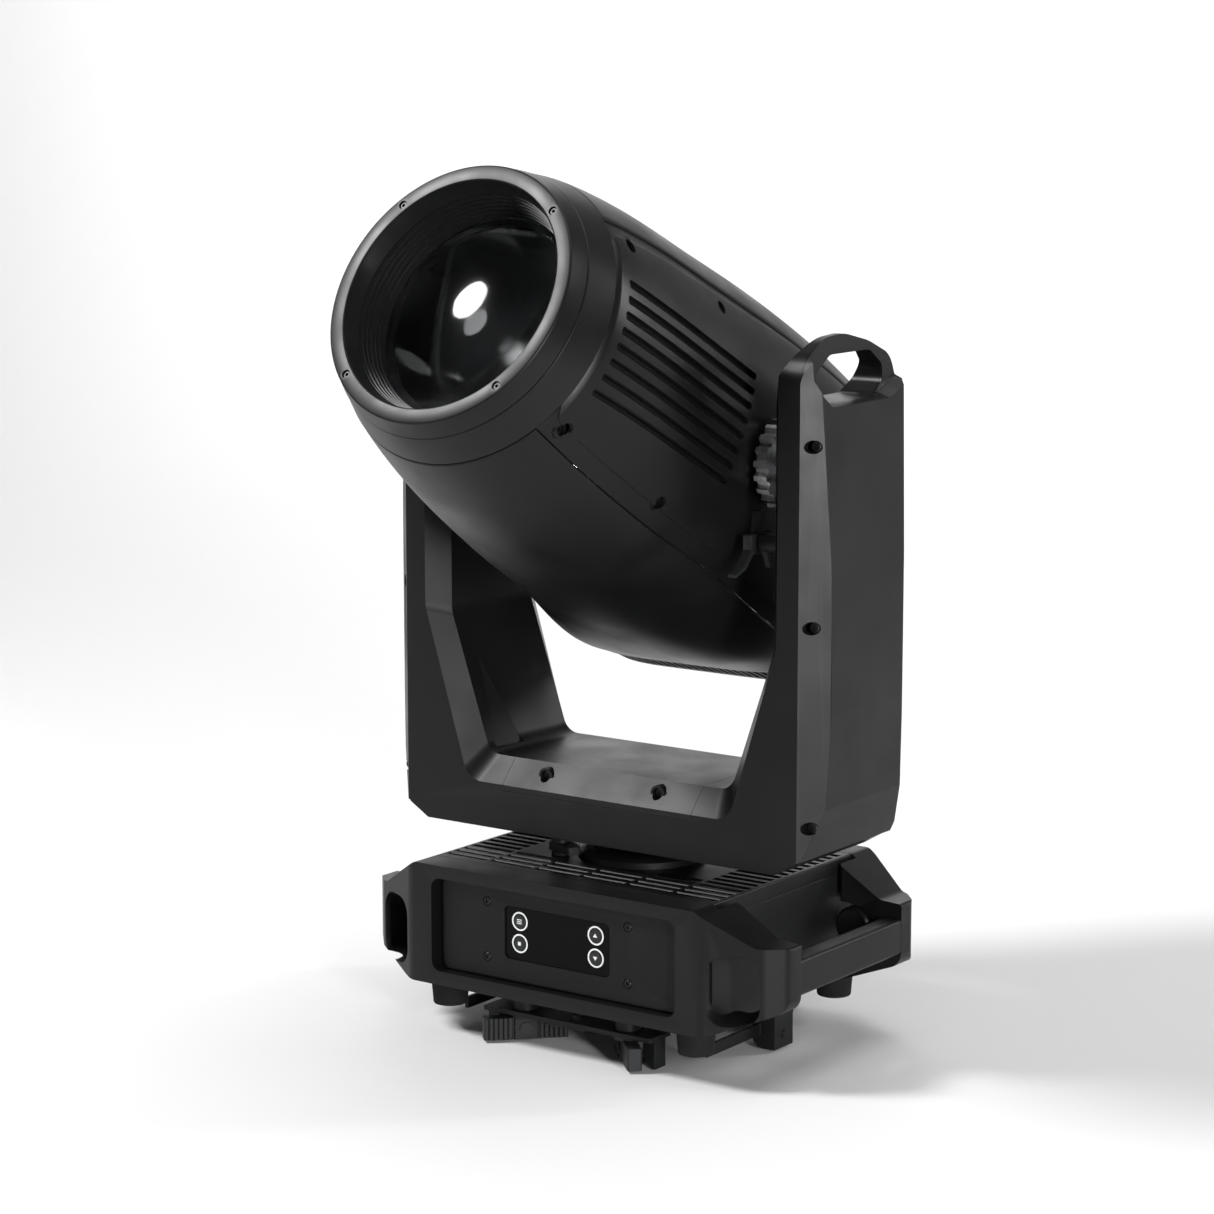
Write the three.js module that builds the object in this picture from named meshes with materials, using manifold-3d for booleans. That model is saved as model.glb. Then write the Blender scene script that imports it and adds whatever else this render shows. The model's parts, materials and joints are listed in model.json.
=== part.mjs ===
// Moving head light: a base with carry bars and quarter-turn brackets, a yoke that pans on it,
// and a head that tilts between the yoke's arms. Millimetres, +Z up, front towards -Y.
// The origin is on the pan axis, in the plane of the base's underside.
import * as THREE from 'three';
import { mergeVertices } from 'three/addons/utils/BufferGeometryUtils.js';
import Module from 'manifold-3d';

const wasm = await Module();
wasm.setup();

// ---------- driving dimensions ----------
const GAP = 0.3;                  // clearance left between neighbouring pieces
const WALL = 3;                   // moulded cover thickness

const BASE_HEIGHT = 105;          // underside to the top of the vented cover
const BASE_HALF_X = 143;          // flat top's half width
const FASCIA_Y = 134;             // front and rear planes of the two fascias
const FASCIA_BACK = 106;          // where a fascia meets the chassis
const BAR_OUTER = 210;            // outer faces of the carry bars
const BAR_INNER = 193;
const BAR_LOW = 32;
const BAR_HIGH = 63;
const FOOT = { x: 127, y: 106, r: 15, height: 22 };
const BRACKET = { y: 98, half: 53, end: 86, strap: 20, drop: 44 };

const YOKE_FRONT = -71;
const YOKE_BACK = 79;
const YOKE_BOTTOM = 127;
const YOKE_SIDE = 199;            // joint plane between the yoke frame and an arm cover
const COVER_SIDE = 219;           // outermost face of an arm cover
const ARM_INNER = 165;            // inner faces of the arms
const ARM_TOP = 562;
const BAR_TOP = 187;              // top face of the yoke's crossbar

const TILT_Z = 451.6;             // height of the tilt axis
const TILT_REST = 60.45;          // degrees the head leans forward at rest
const LENS_FACE = 302;            // tilt axis to the front of the bezel
const BEZEL_R = 110.5;
const BEZEL_HOLE_R = 97;
const SPLIT = 258;                // where the bezel barrel meets the side panels
const HEAD_BACK = -197;           // rear end of the head
const REAR_SPLIT = -152;          // where the covers meet the rear grille

// Head section at stations along its axis: half width, height above and below the axis, and how
// square the section is above and below it.
const HEAD = {
  at: [-200, -175, -150, -100, 0, 100, 200, SPLIT, LENS_FACE],
  width: [124, 129, 131, 132, 131, 131, 130.5, 125, BEZEL_R],
  top: [148, 155, 158, 160, 157, 148, 137.5, 125.5, BEZEL_R],
  bottom: [129, 131, 134.5, 146.5, 151.5, 150, 139.5, 125.5, BEZEL_R],
  square: [2.7, 2.6, 2.5, 2.45, 2.35, 2.2, 2.05, 2, 2],
  squareLow: [6, 6, 5.2, 3.9, 2.45, 2.2, 2.05, 2, 2],
};

// ---------- small geometry kit ----------
const material = (color, roughness, metalness = 0) =>
  new THREE.MeshStandardMaterial({ color, roughness, metalness });
const LOOK = {
  shell: material(0x1b1c1e, 0.5),
  frame: material(0x202124, 0.55, 0.2),
  dark: material(0x0d0e10, 0.6),
  steel: material(0xb9bcc0, 0.35, 1),
  aluminium: material(0x8d9196, 0.45, 1),
  rubber: material(0x141414, 0.9),
  knob: material(0x2b2c2f, 0.6),
  gloss: material(0x050506, 0.1),
  glass: material(0xb8c4cc, 0.05),
  key: material(0x17181a, 0.4),
};

function toSolid(geometry) {
  const bare = geometry.index ? geometry.toNonIndexed() : geometry.clone();
  bare.deleteAttribute('normal');
  bare.deleteAttribute('uv');
  const merged = mergeVertices(bare, 1e-4);
  const mesh = new wasm.Mesh({
    numProp: 3,
    vertProperties: new Float32Array(merged.attributes.position.array),
    triVerts: new Uint32Array(merged.index.array),
  });
  return new wasm.Manifold(mesh);
}

function toGeometry(solid) {
  const mesh = solid.getMesh();
  const geometry = new THREE.BufferGeometry();
  geometry.setAttribute('position', new THREE.BufferAttribute(new Float32Array(mesh.vertProperties), 3));
  geometry.setIndex(new THREE.BufferAttribute(new Uint32Array(mesh.triVerts), 1));
  return geometry;
}

const asGeometry = (shape) => (shape.isBufferGeometry ? shape : toGeometry(shape));
const asSolid = (shape) => (shape.isBufferGeometry ? toSolid(shape) : shape);
const join = (...shapes) => shapes.map(asSolid).reduce((a, b) => a.add(b));
const cut = (body, ...tools) => tools.map(asSolid).reduce((a, b) => a.subtract(b), asSolid(body));
const common = (...shapes) => shapes.map(asSolid).reduce((a, b) => a.intersect(b));

const shapeOf = (points) => new THREE.Shape(points.map(([u, v]) => new THREE.Vector2(u, v)));

// Rounds a closed outline: radius is one number or one per corner.
function rounded(points, radius, steps = 3) {
  const out = [];
  points.forEach((point, i) => {
    const r = Array.isArray(radius) ? radius[i] : radius;
    const corner = new THREE.Vector2(...point);
    const before = new THREE.Vector2(...points[(i + points.length - 1) % points.length]).sub(corner).normalize();
    const after = new THREE.Vector2(...points[(i + 1) % points.length]).sub(corner).normalize();
    const half = Math.acos(THREE.MathUtils.clamp(before.dot(after), -1, 1)) / 2;
    if (!r || half > Math.PI / 2 - 0.02) {
      out.push(point);
      return;
    }
    const centre = corner.clone().addScaledVector(before.clone().add(after).normalize(), r / Math.sin(half));
    const start = corner.clone().addScaledVector(before, r / Math.tan(half)).sub(centre);
    const end = corner.clone().addScaledVector(after, r / Math.tan(half)).sub(centre);
    const turn = Math.atan2(start.cross(end), start.dot(end));
    for (let k = 0; k <= steps; k += 1) {
      const spot = start.clone().rotateAround(new THREE.Vector2(), (turn * k) / steps).add(centre);
      out.push([spot.x, spot.y]);
    }
  });
  return out;
}

const rectangle = (u0, v0, u1, v1) => [[u0, v0], [u1, v0], [u1, v1], [u0, v1]];

// Prisms: the outline lies across the named axis and is swept along it.
function prismZ(points, low, high) {
  const geometry = new THREE.ExtrudeGeometry(shapeOf(points), { depth: high - low, bevelEnabled: false });
  return geometry.translate(0, 0, low);
}

function prismY(points, low, high) {
  return prismZ(points, -high, -low).rotateX(Math.PI / 2);
}

function prismX(points, low, high) {
  const turn = new THREE.Matrix4().makeBasis(
    new THREE.Vector3(0, 1, 0), new THREE.Vector3(0, 0, 1), new THREE.Vector3(1, 0, 0));
  return prismZ(points, low, high).applyMatrix4(turn);
}

// Turns an indexed closed surface so that its faces point outwards.
function outward(geometry) {
  const position = geometry.attributes.position;
  const index = Array.from(geometry.index.array);
  const corner = [0, 1, 2].map(() => new THREE.Vector3());
  let volume = 0;
  for (let i = 0; i < index.length; i += 3) {
    corner.forEach((v, k) => v.fromBufferAttribute(position, index[i + k]));
    volume += corner[0].dot(corner[1].clone().cross(corner[2]));
  }
  if (volume < 0) {
    for (let i = 0; i < index.length; i += 3) [index[i], index[i + 1]] = [index[i + 1], index[i]];
    geometry.setIndex(index);
  }
  return geometry;
}

const block = (low, high) => prismZ(rectangle(low[0], low[1], high[0], high[1]), low[2], high[2]);

// Turned solid about an axis: the profile is [radius, distance along the axis].
function turned(profile, axis = 'z', centre = [0, 0, 0], segments = 24) {
  const points = profile.map(([r, t]) => new THREE.Vector2(r, t));
  const geometry = outward(new THREE.LatheGeometry(points, segments)).rotateX(Math.PI / 2);
  if (axis === 'y') geometry.rotateX(-Math.PI / 2);
  if (axis === 'x') geometry.rotateY(Math.PI / 2);
  return geometry.translate(...centre);
}

const disc = (r, low, high, axis = 'z', centre = [0, 0, 0], segments = 24) =>
  turned([[0, low], [r, low], [r, high], [0, high]], axis, centre, segments);

const ring = (inner, outer, low, high, axis = 'z', centre = [0, 0, 0], segments = 24) =>
  turned([[inner, low], [outer, low], [outer, high], [inner, high], [inner, low]], axis, centre, segments);

// Flanged belt pulley profile along its axis: two thin flanges and a flat between them.
const pulleyProfile = (bore, r, low, high) => [[bore, low], [r + 1.5, low], [r + 1.5, low + 1], [r, low + 1],
  [r, high - 1], [r + 1.5, high - 1], [r + 1.5, high], [bore, high], [bore, low]];

// Outline of a toothed disc.
function toothed(count, inner, outer) {
  const points = [];
  for (let i = 0; i < count; i += 1) {
    [[0, inner], [0.2, outer], [0.55, outer], [0.75, inner]].forEach(([share, r]) => {
      const angle = ((i + share) / count) * Math.PI * 2;
      points.push([r * Math.cos(angle), r * Math.sin(angle)]);
    });
  }
  return points;
}

const light = new THREE.Group();
const base = new THREE.Group();
const yoke = new THREE.Group();
const head = new THREE.Group();
head.position.set(0, 0, TILT_Z);
head.rotation.x = THREE.MathUtils.degToRad(TILT_REST);
yoke.add(head);
light.add(base, yoke);

function place(group, name, shape, look) {
  const mesh = new THREE.Mesh(asGeometry(shape), look);
  mesh.name = name;
  group.add(mesh);
}

// Mirror image of a shape, with its faces turned to point outwards again.
function mirrored(shape, axis) {
  const geometry = asGeometry(shape).clone();
  geometry.scale(axis === 'x' ? -1 : 1, axis === 'y' ? -1 : 1, 1);
  const flat = geometry.index ? geometry.toNonIndexed() : geometry;
  const position = flat.attributes.position;
  const corner = [new THREE.Vector3(), new THREE.Vector3()];
  for (let i = 0; i < position.count; i += 3) {
    corner[0].fromBufferAttribute(position, i + 1);
    corner[1].fromBufferAttribute(position, i + 2);
    position.setXYZ(i + 1, ...corner[1].toArray());
    position.setXYZ(i + 2, ...corner[0].toArray());
  }
  return flat;
}

const SIDES = [['left', -1], ['right', 1]];

// ---------- base ----------
const TRAY_TOP = 92;              // rim of the chassis, under the vented cover
const hollowOf = (low, high) => block([-BASE_HALF_X + WALL, -FASCIA_BACK + WALL, low],
  [BASE_HALF_X - WALL, FASCIA_BACK - WALL, high]);

function chassis() {
  const outer = block([-BASE_HALF_X, -FASCIA_BACK, 0], [BASE_HALF_X, FASCIA_BACK, TRAY_TOP]);
  return cut(outer, hollowOf(WALL, TRAY_TOP + 8));
}

function ventCover() {
  const plate = block([-BASE_HALF_X, -FASCIA_BACK, TRAY_TOP + GAP], [BASE_HALF_X, FASCIA_BACK, BASE_HEIGHT]);
  const hollow = hollowOf(TRAY_TOP - 2, BASE_HEIGHT - WALL);
  const columns = 6;
  const rows = 17;
  const firstRow = -92;
  const pitch = { x: 47, y: 11.5 };
  const slot = { x: 21, y: 2.6 };
  const slots = [];
  for (let i = 0; i < columns; i += 1) {
    const x = (i - (columns - 1) / 2) * pitch.x;
    for (let j = 0; j < rows; j += 1) {
      const y = firstRow + j * pitch.y;
      const nearPost = Math.hypot(Math.max(Math.abs(x) - slot.x, 0), y) < 66;
      const nearLock = Math.abs(x - PAN_LOCK.x) < 30 && Math.abs(y - PAN_LOCK.y) < 14;
      if (!nearPost && !nearLock) slots.push(block([x - slot.x, y - slot.y, 90], [x + slot.x, y + slot.y, 110]));
    }
  }
  return cut(plate, hollow, ...slots, disc(56, 90, 110, 'z', [0, 0, 0], 32));
}

// Outline of a fascia seen from the front: a flat top, sloping shoulders and lifted lower corners.
const FASCIA_FRONT = rounded([
  [-150, 1], [150, 1], [BAR_OUTER, 24], [BAR_OUTER, 76], [189, 77], [BASE_HALF_X, BASE_HEIGHT],
  [-BASE_HALF_X, BASE_HEIGHT], [-189, 77], [-BAR_OUTER, 76], [-BAR_OUTER, 24],
], [40, 40, 14, 3, 12, 8, 8, 12, 3, 14], 2);

// The same fascia seen from above: its ends turn back to meet the bars.
const FASCIA_PLAN = rounded([
  [-148, -FASCIA_Y], [148, -FASCIA_Y], [196, -111], [BAR_OUTER, -96], [BAR_OUTER, -78], [148, -78],
  [148, -FASCIA_BACK], [-148, -FASCIA_BACK], [-148, -78], [-BAR_OUTER, -78], [-BAR_OUTER, -96], [-196, -111],
], [20, 20, 14, 12, 0, 4, 0, 0, 4, 0, 12, 14], 2);

function windowCut(side) {
  const slot = rounded(rectangle(-22, 11, 22, 70), 16, 3);
  const tunnel = prismY(slot, -60, 60);
  tunnel.rotateZ(side * THREE.MathUtils.degToRad(26)).translate(side * 172, -120, 0);
  return tunnel;
}

function fasciaBlank() {
  const blank = common(prismY(FASCIA_FRONT, -FASCIA_Y - 10, -60), prismZ(FASCIA_PLAN, -5, 120));
  return cut(blank, windowCut(-1), windowCut(1));
}

function frontFascia() {
  const recess = prismY(rounded(rectangle(-125, 13, 125, 94), 9), -FASCIA_Y - 5, -FASCIA_Y + 12);
  const pocket = prismY(rounded(rectangle(-112, 20, 112, 88), 6), -FASCIA_Y, -FASCIA_BACK + 5);
  return cut(fasciaBlank(), recess, pocket);
}

function rearFascia() {
  const blank = mirrored(fasciaBlank(), 'y');
  const recess = prismY(rounded(rectangle(-125, 13, 125, 94), 9), FASCIA_Y - 12, FASCIA_Y + 5);
  const pocket = prismY(rounded(rectangle(-112, 20, 112, 88), 6), FASCIA_BACK - 5, FASCIA_Y);
  return cut(blank, recess, pocket);
}

function carryBar(side) {
  const section = rounded([
    [BAR_INNER, BAR_LOW + 3], [BAR_OUTER, BAR_LOW], [BAR_OUTER, BAR_HIGH], [BAR_INNER, BAR_HIGH + 1],
  ].map(([x, z]) => [side * x, z]), 3.5, 3);
  const outline = side > 0 ? section : section.slice().reverse();
  return prismY(outline, -78 + GAP, 78 - GAP);
}

const PANEL_Y = -FASCIA_Y + 12;   // seat of the control panel
function controlPanel() {
  const plate = prismY(rounded(rectangle(-119, 15, 124, 92), 6), PANEL_Y - 3, PANEL_Y - GAP);
  const opening = prismY(rounded(rectangle(-54, 33, 54, 79), 5), PANEL_Y - 6, PANEL_Y + 3);
  return cut(plate, opening);
}

const KEYS = [[-39, 66.5], [-39, 47.5], [39, 66.5], [39, 47.5]];
function displayWindow() {
  const glass = prismY(rounded(rectangle(-53.7, 33.3, 53.7, 78.7), 4.7), PANEL_Y - 1.5, PANEL_Y + 4);
  const holes = KEYS.map(([x, z]) => disc(6.6, PANEL_Y - 5, PANEL_Y + 8, 'y', [x, 0, z], 16));
  return cut(glass, ...holes);
}

function menuKey([x, z]) {
  return turned([[0, -2.3], [5.6, -2.3], [6.2, -1.7], [6.2, 6], [0, 6]], 'y', [x, PANEL_Y, z], 16);
}

const SOCKETS = [10, 50];
function connectorPanel() {
  const plate = prismY(rounded(rectangle(-119, 15, 119, 92), 6), -PANEL_Y + GAP, -PANEL_Y + 3);
  const inlet = prismY(rectangle(-100, 34, -70, 60), 100, 140);
  const rocker = prismY(rectangle(-56, 36, -40, 58), 100, 140);
  const sockets = SOCKETS.map((x) => disc(12, 100, 140, 'y', [x, 0, 50], 24));
  return cut(plate, inlet, rocker, ...sockets);
}

const SOCKET_BACK = FASCIA_BACK + GAP;
function powerInlet() {
  const body = prismY(rounded(rectangle(-99.6, 34.4, -70.4, 59.6), 3, 2), SOCKET_BACK, 127);
  const mouth = prismY(rounded(rectangle(-97, 37, -73, 57), 3, 2), 112, 130);
  const pins = [-91, -85, -79].map((x) => block([x - 1.2, 111, 44], [x + 1.2, 124, 50]));
  return join(cut(body, mouth), ...pins);
}

function powerRocker() {
  const side = rounded([[117, 37.5], [124.5, 37.5], [126, 47], [127.5, 56.5], [117, 56.5]], 1, 2);
  return prismX(side, -55, -41);
}

function roundSocket(x) {
  const profile = [[0, SOCKET_BACK], [11.6, SOCKET_BACK], [11.6, 126], [9, 126], [9, 110], [0, 110]];
  return turned(profile, 'y', [x, 0, 50], 24);
}

function foot([x, y]) {
  return turned([[0, -FOOT.height], [FOOT.r - 1, -FOOT.height], [FOOT.r, -FOOT.height + 1.5],
    [FOOT.r + 1.5, -GAP], [0, -GAP]], 'z', [x, y, 0], 16);
}

function bracket(y) {
  const high = -BRACKET.strap + 4;
  const strap = block([-BRACKET.end, y - 15, -BRACKET.strap], [BRACKET.end, y + 15, high]);
  const hook = prismY([[BRACKET.end - 12, high], [BRACKET.end - 12, -33], [BRACKET.end - 3, -BRACKET.drop],
    [BRACKET.end, -BRACKET.drop], [BRACKET.end, high]], y - 8, y + 8);
  const ends = [hook, mirrored(hook, 'x')];
  const posts = [-1, 1].map((side) => ring(5.4, 11, high - 1, -GAP, 'z', [side * BRACKET.half, y, 0], 16));
  const bores = [-1, 1].map((side) => disc(5.4, -30, -5, 'z', [side * BRACKET.half, y, 0], 16));
  const pad = block([-20, y - 15, -BRACKET.strap - 1.5], [20, y + 15, high]);
  return cut(join(strap, pad, ...ends, ...posts), ...bores, disc(6.5, -30, 0, 'z', [0, y, 0], 16));
}

// Keeper under the side of the base: a block with a button on its outer face, and a bar on edge
// that runs forwards from it.
const KEEPER = { x: 118, out: 141, y: -9, back: 19, low: -42 };
function sideKeeper() {
  const { x, out, y, back, low } = KEEPER;
  const blank = prismY(rounded([[x, -GAP], [x, low], [out, low], [out, -GAP]], [0, 9, 1, 0], 3), y, back);
  const button = disc(4, out - 1, out + 2, 'x', [0, (y + back) / 2, -30], 16);
  const bar = block([x + 4, -88, -31], [x + 8, y + 1, -21]);
  return join(blank, button, bar);
}

// Wing knob of a quarter-turn fastener: a ribbed wing with a plain boss pad in its middle.
const WING = { half: 36, thick: 6, low: -BRACKET.drop + 2, high: -BRACKET.strap - 3 - GAP, ribs: 2 };
function wingKnob() {
  const { half, thick, low, high, ribs } = WING;
  const pitch = (half - 12) / ribs;
  const edge = [];
  for (let i = 0; i < ribs; i += 1) {
    const x = 12 + i * pitch;
    edge.push([x, thick - 1.2], [x + 1.2, thick - 1.2], [x + 1.6, thick], [x + pitch, thick]);
  }
  const quarter = [[11, thick + 0.6], ...edge, [half, thick - 1]];
  const flipX = (points) => points.map(([x, y]) => [-x, y]).reverse();
  const flipY = (points) => points.map(([x, y]) => [x, -y]).reverse();
  const topHalf = [...flipX(quarter), ...quarter];
  const wing = prismZ([...topHalf, ...flipY(topHalf)].reverse(), low, high);
  const boss = disc(5.5, -thick - 2, thick + 2, 'y', [0, 0, (low + high) / 2], 12);
  const collar = disc(12, high - 0.5, -BRACKET.strap - GAP, 'z', [0, 0, 0], 16);
  const stem = disc(5, high - 1, -GAP - 1, 'z', [0, 0, 0], 12);
  return join(wing, boss, collar, stem);
}

// Fixed post that the yoke turns on: a flange in the vent cover and a hollow tube into the crossbar.
// The belt pulley that the pan motor drives itself round is part of it.
const POST_R = 30;
const PAN_PULLEY = { r: 56, low: 140, high: 152 };
function panPost() {
  const { r, low, high } = PAN_PULLEY;
  const profile = [[20, 78], [54, 78], [54, 110], [44, 116], [POST_R, 116], [POST_R, low], [r + 2, low],
    [r + 2, low + 1], [r, low + 1], [r, high - 1], [r + 2, high - 1], [r + 2, high], [POST_R, high],
    [POST_R, 160], [20, 160], [20, 78]];
  return turned(profile, 'z', [0, 0, 0], 28);
}

// Lever that blocks the pan bearing: it swings about a vertical pin beside the flange.
const PAN_LOCK = { x: -58, y: -40 };
function panLock() {
  const blade = prismZ(rounded([[-9, -6], [20, -16], [26, -6], [6, 8], [-9, 8]], 3, 3), 109, 116);
  const hub = disc(8, BASE_HEIGHT + GAP, 119, 'z', [0, 0, 0], 20);
  return toGeometry(join(blade, hub)).translate(PAN_LOCK.x, PAN_LOCK.y, 0);
}

function buildBase() {
  place(base, 'base_chassis', chassis(), LOOK.frame);
  place(base, 'base_vent_cover', ventCover(), LOOK.shell);
  place(base, 'front_fascia', frontFascia(), LOOK.shell);
  place(base, 'rear_fascia', rearFascia(), LOOK.shell);
  SIDES.forEach(([name, side]) => place(base, `carry_bar_${name}`, carryBar(side), LOOK.shell));
  place(base, 'control_panel', controlPanel(), LOOK.shell);
  place(base, 'display_window', displayWindow(), LOOK.gloss);
  KEYS.forEach((spot, i) => place(base, `menu_key_${i + 1}`, menuKey(spot), LOOK.key));
  place(base, 'connector_panel', connectorPanel(), LOOK.shell);
  place(base, 'power_inlet', powerInlet(), LOOK.key);
  place(base, 'power_rocker', powerRocker(), LOOK.dark);
  place(base, 'data_socket_in', roundSocket(SOCKETS[0]), LOOK.steel);
  place(base, 'data_socket_out', roundSocket(SOCKETS[1]), LOOK.steel);
  place(base, 'side_keeper_right', sideKeeper(), LOOK.frame);
  place(base, 'side_keeper_left', mirrored(sideKeeper(), 'x'), LOOK.frame);
  [['front', -1], ['rear', 1]].forEach(([end, j]) => {
    SIDES.forEach(([name, side]) => {
      place(base, `foot_${end}_${name}`, foot([side * FOOT.x, j * FOOT.y]), LOOK.rubber);
    });
    place(base, `bracket_${end}`, bracket(j * BRACKET.y), LOOK.frame);
    SIDES.forEach(([name, side]) => {
      const knob = toGeometry(wingKnob()).rotateZ((side * j * Math.PI) / 4);
      knob.translate(side * BRACKET.half, j * BRACKET.y, 0);
      place(base, `wing_knob_${end}_${name}`, knob, LOOK.knob);
    });
  });
  place(base, 'pan_post', panPost(), LOOK.frame);
  place(base, 'pan_lock', panLock(), LOOK.knob);
}

// ---------- yoke ----------
const FLARE = 19;                 // depth of the bevel round the yoke's inner contour
const OPENING = rounded([[-ARM_INNER, 620], [-ARM_INNER, 307], [-124, BAR_TOP], [124, BAR_TOP], [ARM_INNER, 307],
  [ARM_INNER, 620]], [0, 30, 16, 16, 30, 0]);
const OPENING_FACE = rounded([[-179, 620], [-179, 313], [-134, 166], [134, 166], [179, 313], [179, 620]],
  [0, 30, 20, 20, 30, 0]);
const COVER_SEAM = 97;

// Solid between two outlines with the same number of points, at two places along an axis.
function loft(first, second, toPoint) {
  const count = first.length;
  const corners = [...first.map((p) => toPoint(p, 0)), ...second.map((p) => toPoint(p, 1))];
  const index = [];
  for (let i = 0; i < count; i += 1) {
    const j = (i + 1) % count;
    index.push(i, j, count + j, i, count + j, count + i);
  }
  const outline = first.map(([u, v]) => new THREE.Vector2(u, v));
  THREE.ShapeUtils.triangulateShape(outline, []).forEach(([a, b, c]) => {
    index.push(c, b, a, count + a, count + b, count + c);
  });
  const geometry = new THREE.BufferGeometry();
  geometry.setAttribute('position', new THREE.Float32BufferAttribute(corners.flat(), 3));
  geometry.setIndex(index);
  return outward(geometry);
}

// An arm seen from the side: a rounded arch that falls away towards the rear.
const archProfile = (low) => rounded([[YOKE_FRONT, low], [YOKE_BACK, low], [YOKE_BACK, 455], [74, 513], [62, 540],
  [28, 553.5], [-10, ARM_TOP], [-40, ARM_TOP - 2], [-62, 546], [YOKE_FRONT, 531]],
[0, 0, 60, 60, 25, 80, 60, 35, 30, 25], 2);

// Hand hole through an arm, and the wide scoop in the cover that leads into it from outside.
const HOLE = [[-38, 508], [38, 508], [50, 520], [50, 533], [30, 546], [-30, 546], [-50, 533], [-50, 520]];
const HOLE_ROUND = [10, 10, 10, 10, 12, 12, 10, 10];
const SCOOP_FLOOR = [[-40, 510], [40, 510], [54, 516], [70, 521], [84, 600], [-66, 600], [-60, 529], [-52, 519]];
const SCOOP_LIP = [[-46, 503], [43, 503], [60, 507.5], [78, 515], [90, 600], [-76, 600], [-70, 525], [-59, 512]];
const SCOOP_ROUND = [14, 14, 8, 8, 0, 0, 8, 8];

// Keeps what lies in front of the yoke's bevelled lower rear edge.
const rearTaper = () => prismX([[YOKE_FRONT - 5, 100], [66, 100], [69, YOKE_BOTTOM], [YOKE_BACK, 168],
  [YOKE_BACK + 5, 600], [YOKE_FRONT - 5, 600]], -260, 260);

// Triangular facet low on an arm's slanting inner face: flush along its rear edge and sunk at the front.
const FACET = { corners: [[-33, 265], [-44, 189], [-6, 189]], depths: [0.2, 6, 0.2] };
function armFacet() {
  const slope = (ARM_INNER - 124) / (307 - BAR_TOP);
  const surface = (z) => 124 + (z - BAR_TOP) * slope;
  return loft(FACET.corners, FACET.corners, ([y, z], end) => {
    const i = FACET.corners.findIndex((corner) => corner[0] === y && corner[1] === z);
    return [surface(z) + (end ? FACET.depths[i] : -3), y, z];
  });
}

function yokeFrame() {
  const outline = [[-178, YOKE_BOTTOM], [178, YOKE_BOTTOM], [197, 138.5], [YOKE_SIDE, 142], [YOKE_SIDE, 600],
    [-YOKE_SIDE, 600], [-YOKE_SIDE, 142], [-197, 138.5]];
  const solid = common(prismY(outline, YOKE_FRONT, YOKE_BACK), rearTaper(),
    prismX(archProfile(YOKE_BOTTOM), -260, 260));
  const opening = prismY(OPENING, YOKE_FRONT - 5, YOKE_BACK + 5);
  const frontFlare = loft(OPENING, OPENING_FACE, ([x, z], end) => [x, YOKE_FRONT + FLARE * (1 - end), z]);
  const backFlare = loft(OPENING, OPENING_FACE, ([x, z], end) => [x, YOKE_BACK - FLARE * (1 - end), z]);
  const deep = [[170, 491], [170, 309], [134, 182], [134, 150], [215, 150], [215, 491]];
  const wide = [[186, 491], [186, 309], [150, 182], [150, 150], [215, 150], [215, 491]];
  const armPocket = join(prismY(deep, YOKE_FRONT + FLARE + 2, YOKE_BACK - FLARE - 2),
    prismY(wide, YOKE_FRONT + 5, YOKE_BACK - 5));
  const pockets = [armPocket, mirrored(armPocket, 'x')];
  const trough = block([-COVER_SEAM, -60, YOKE_BOTTOM + 4], [COVER_SEAM, 68, 200]);
  const tunnel = block([-140, -40, YOKE_BOTTOM + 4], [140, 48, 160]);
  const seat = prismX([[YOKE_FRONT - 5, 161], [YOKE_BACK + 5, 161], [YOKE_BACK + 5, 200], [YOKE_FRONT - 5, 200]],
    -COVER_SEAM, COVER_SEAM);
  const hole = prismX(rounded(HOLE, HOLE_ROUND, 3), -215, 215);
  const bore = disc(BEARING.outer + GAP, -180, 180, 'x', [0, 0, TILT_Z], 32);
  const lean = prismY([[150, 505], [ARM_INNER, 505], [194, 561], [194, 570], [150, 570]],
    YOKE_FRONT - 5, YOKE_BACK + 5);
  const facet = armFacet();
  const shell = cut(solid, opening, frontFlare, backFlare, ...pockets, facet, mirrored(facet, 'x'), lean,
    mirrored(lean, 'x'), trough, tunnel, seat, hole, bore);
  const housing = turned([[0, 118], [42, 118], [47, 122], [47, 134], [0, 134]], 'z', [0, 0, 0], 28);
  return cut(join(shell, housing), disc(POST_R + 0.5, 110, 140, 'z', [0, 0, 0], 28));
}

const BEARING = { inner: 17.3, outer: 27, from: 161, to: 171 };

function crossbarCover() {
  const outside = [[YOKE_FRONT, 161 + GAP], [YOKE_FRONT, 166], [YOKE_FRONT + FLARE, BAR_TOP],
    [YOKE_BACK - FLARE, BAR_TOP], [YOKE_BACK, 166], [YOKE_BACK, 161 + GAP]];
  const inside = [[YOKE_FRONT + 4, 150], [YOKE_FRONT + 4, 165], [YOKE_FRONT + FLARE + 1.5, BAR_TOP - 3],
    [YOKE_BACK - FLARE - 1.5, BAR_TOP - 3], [YOKE_BACK - 4, 165], [YOKE_BACK - 4, 150]];
  const reach = COVER_SEAM - GAP;
  return cut(prismX(outside.reverse(), -reach, reach), prismX(inside.reverse(), -reach - 5, reach + 5));
}

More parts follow.
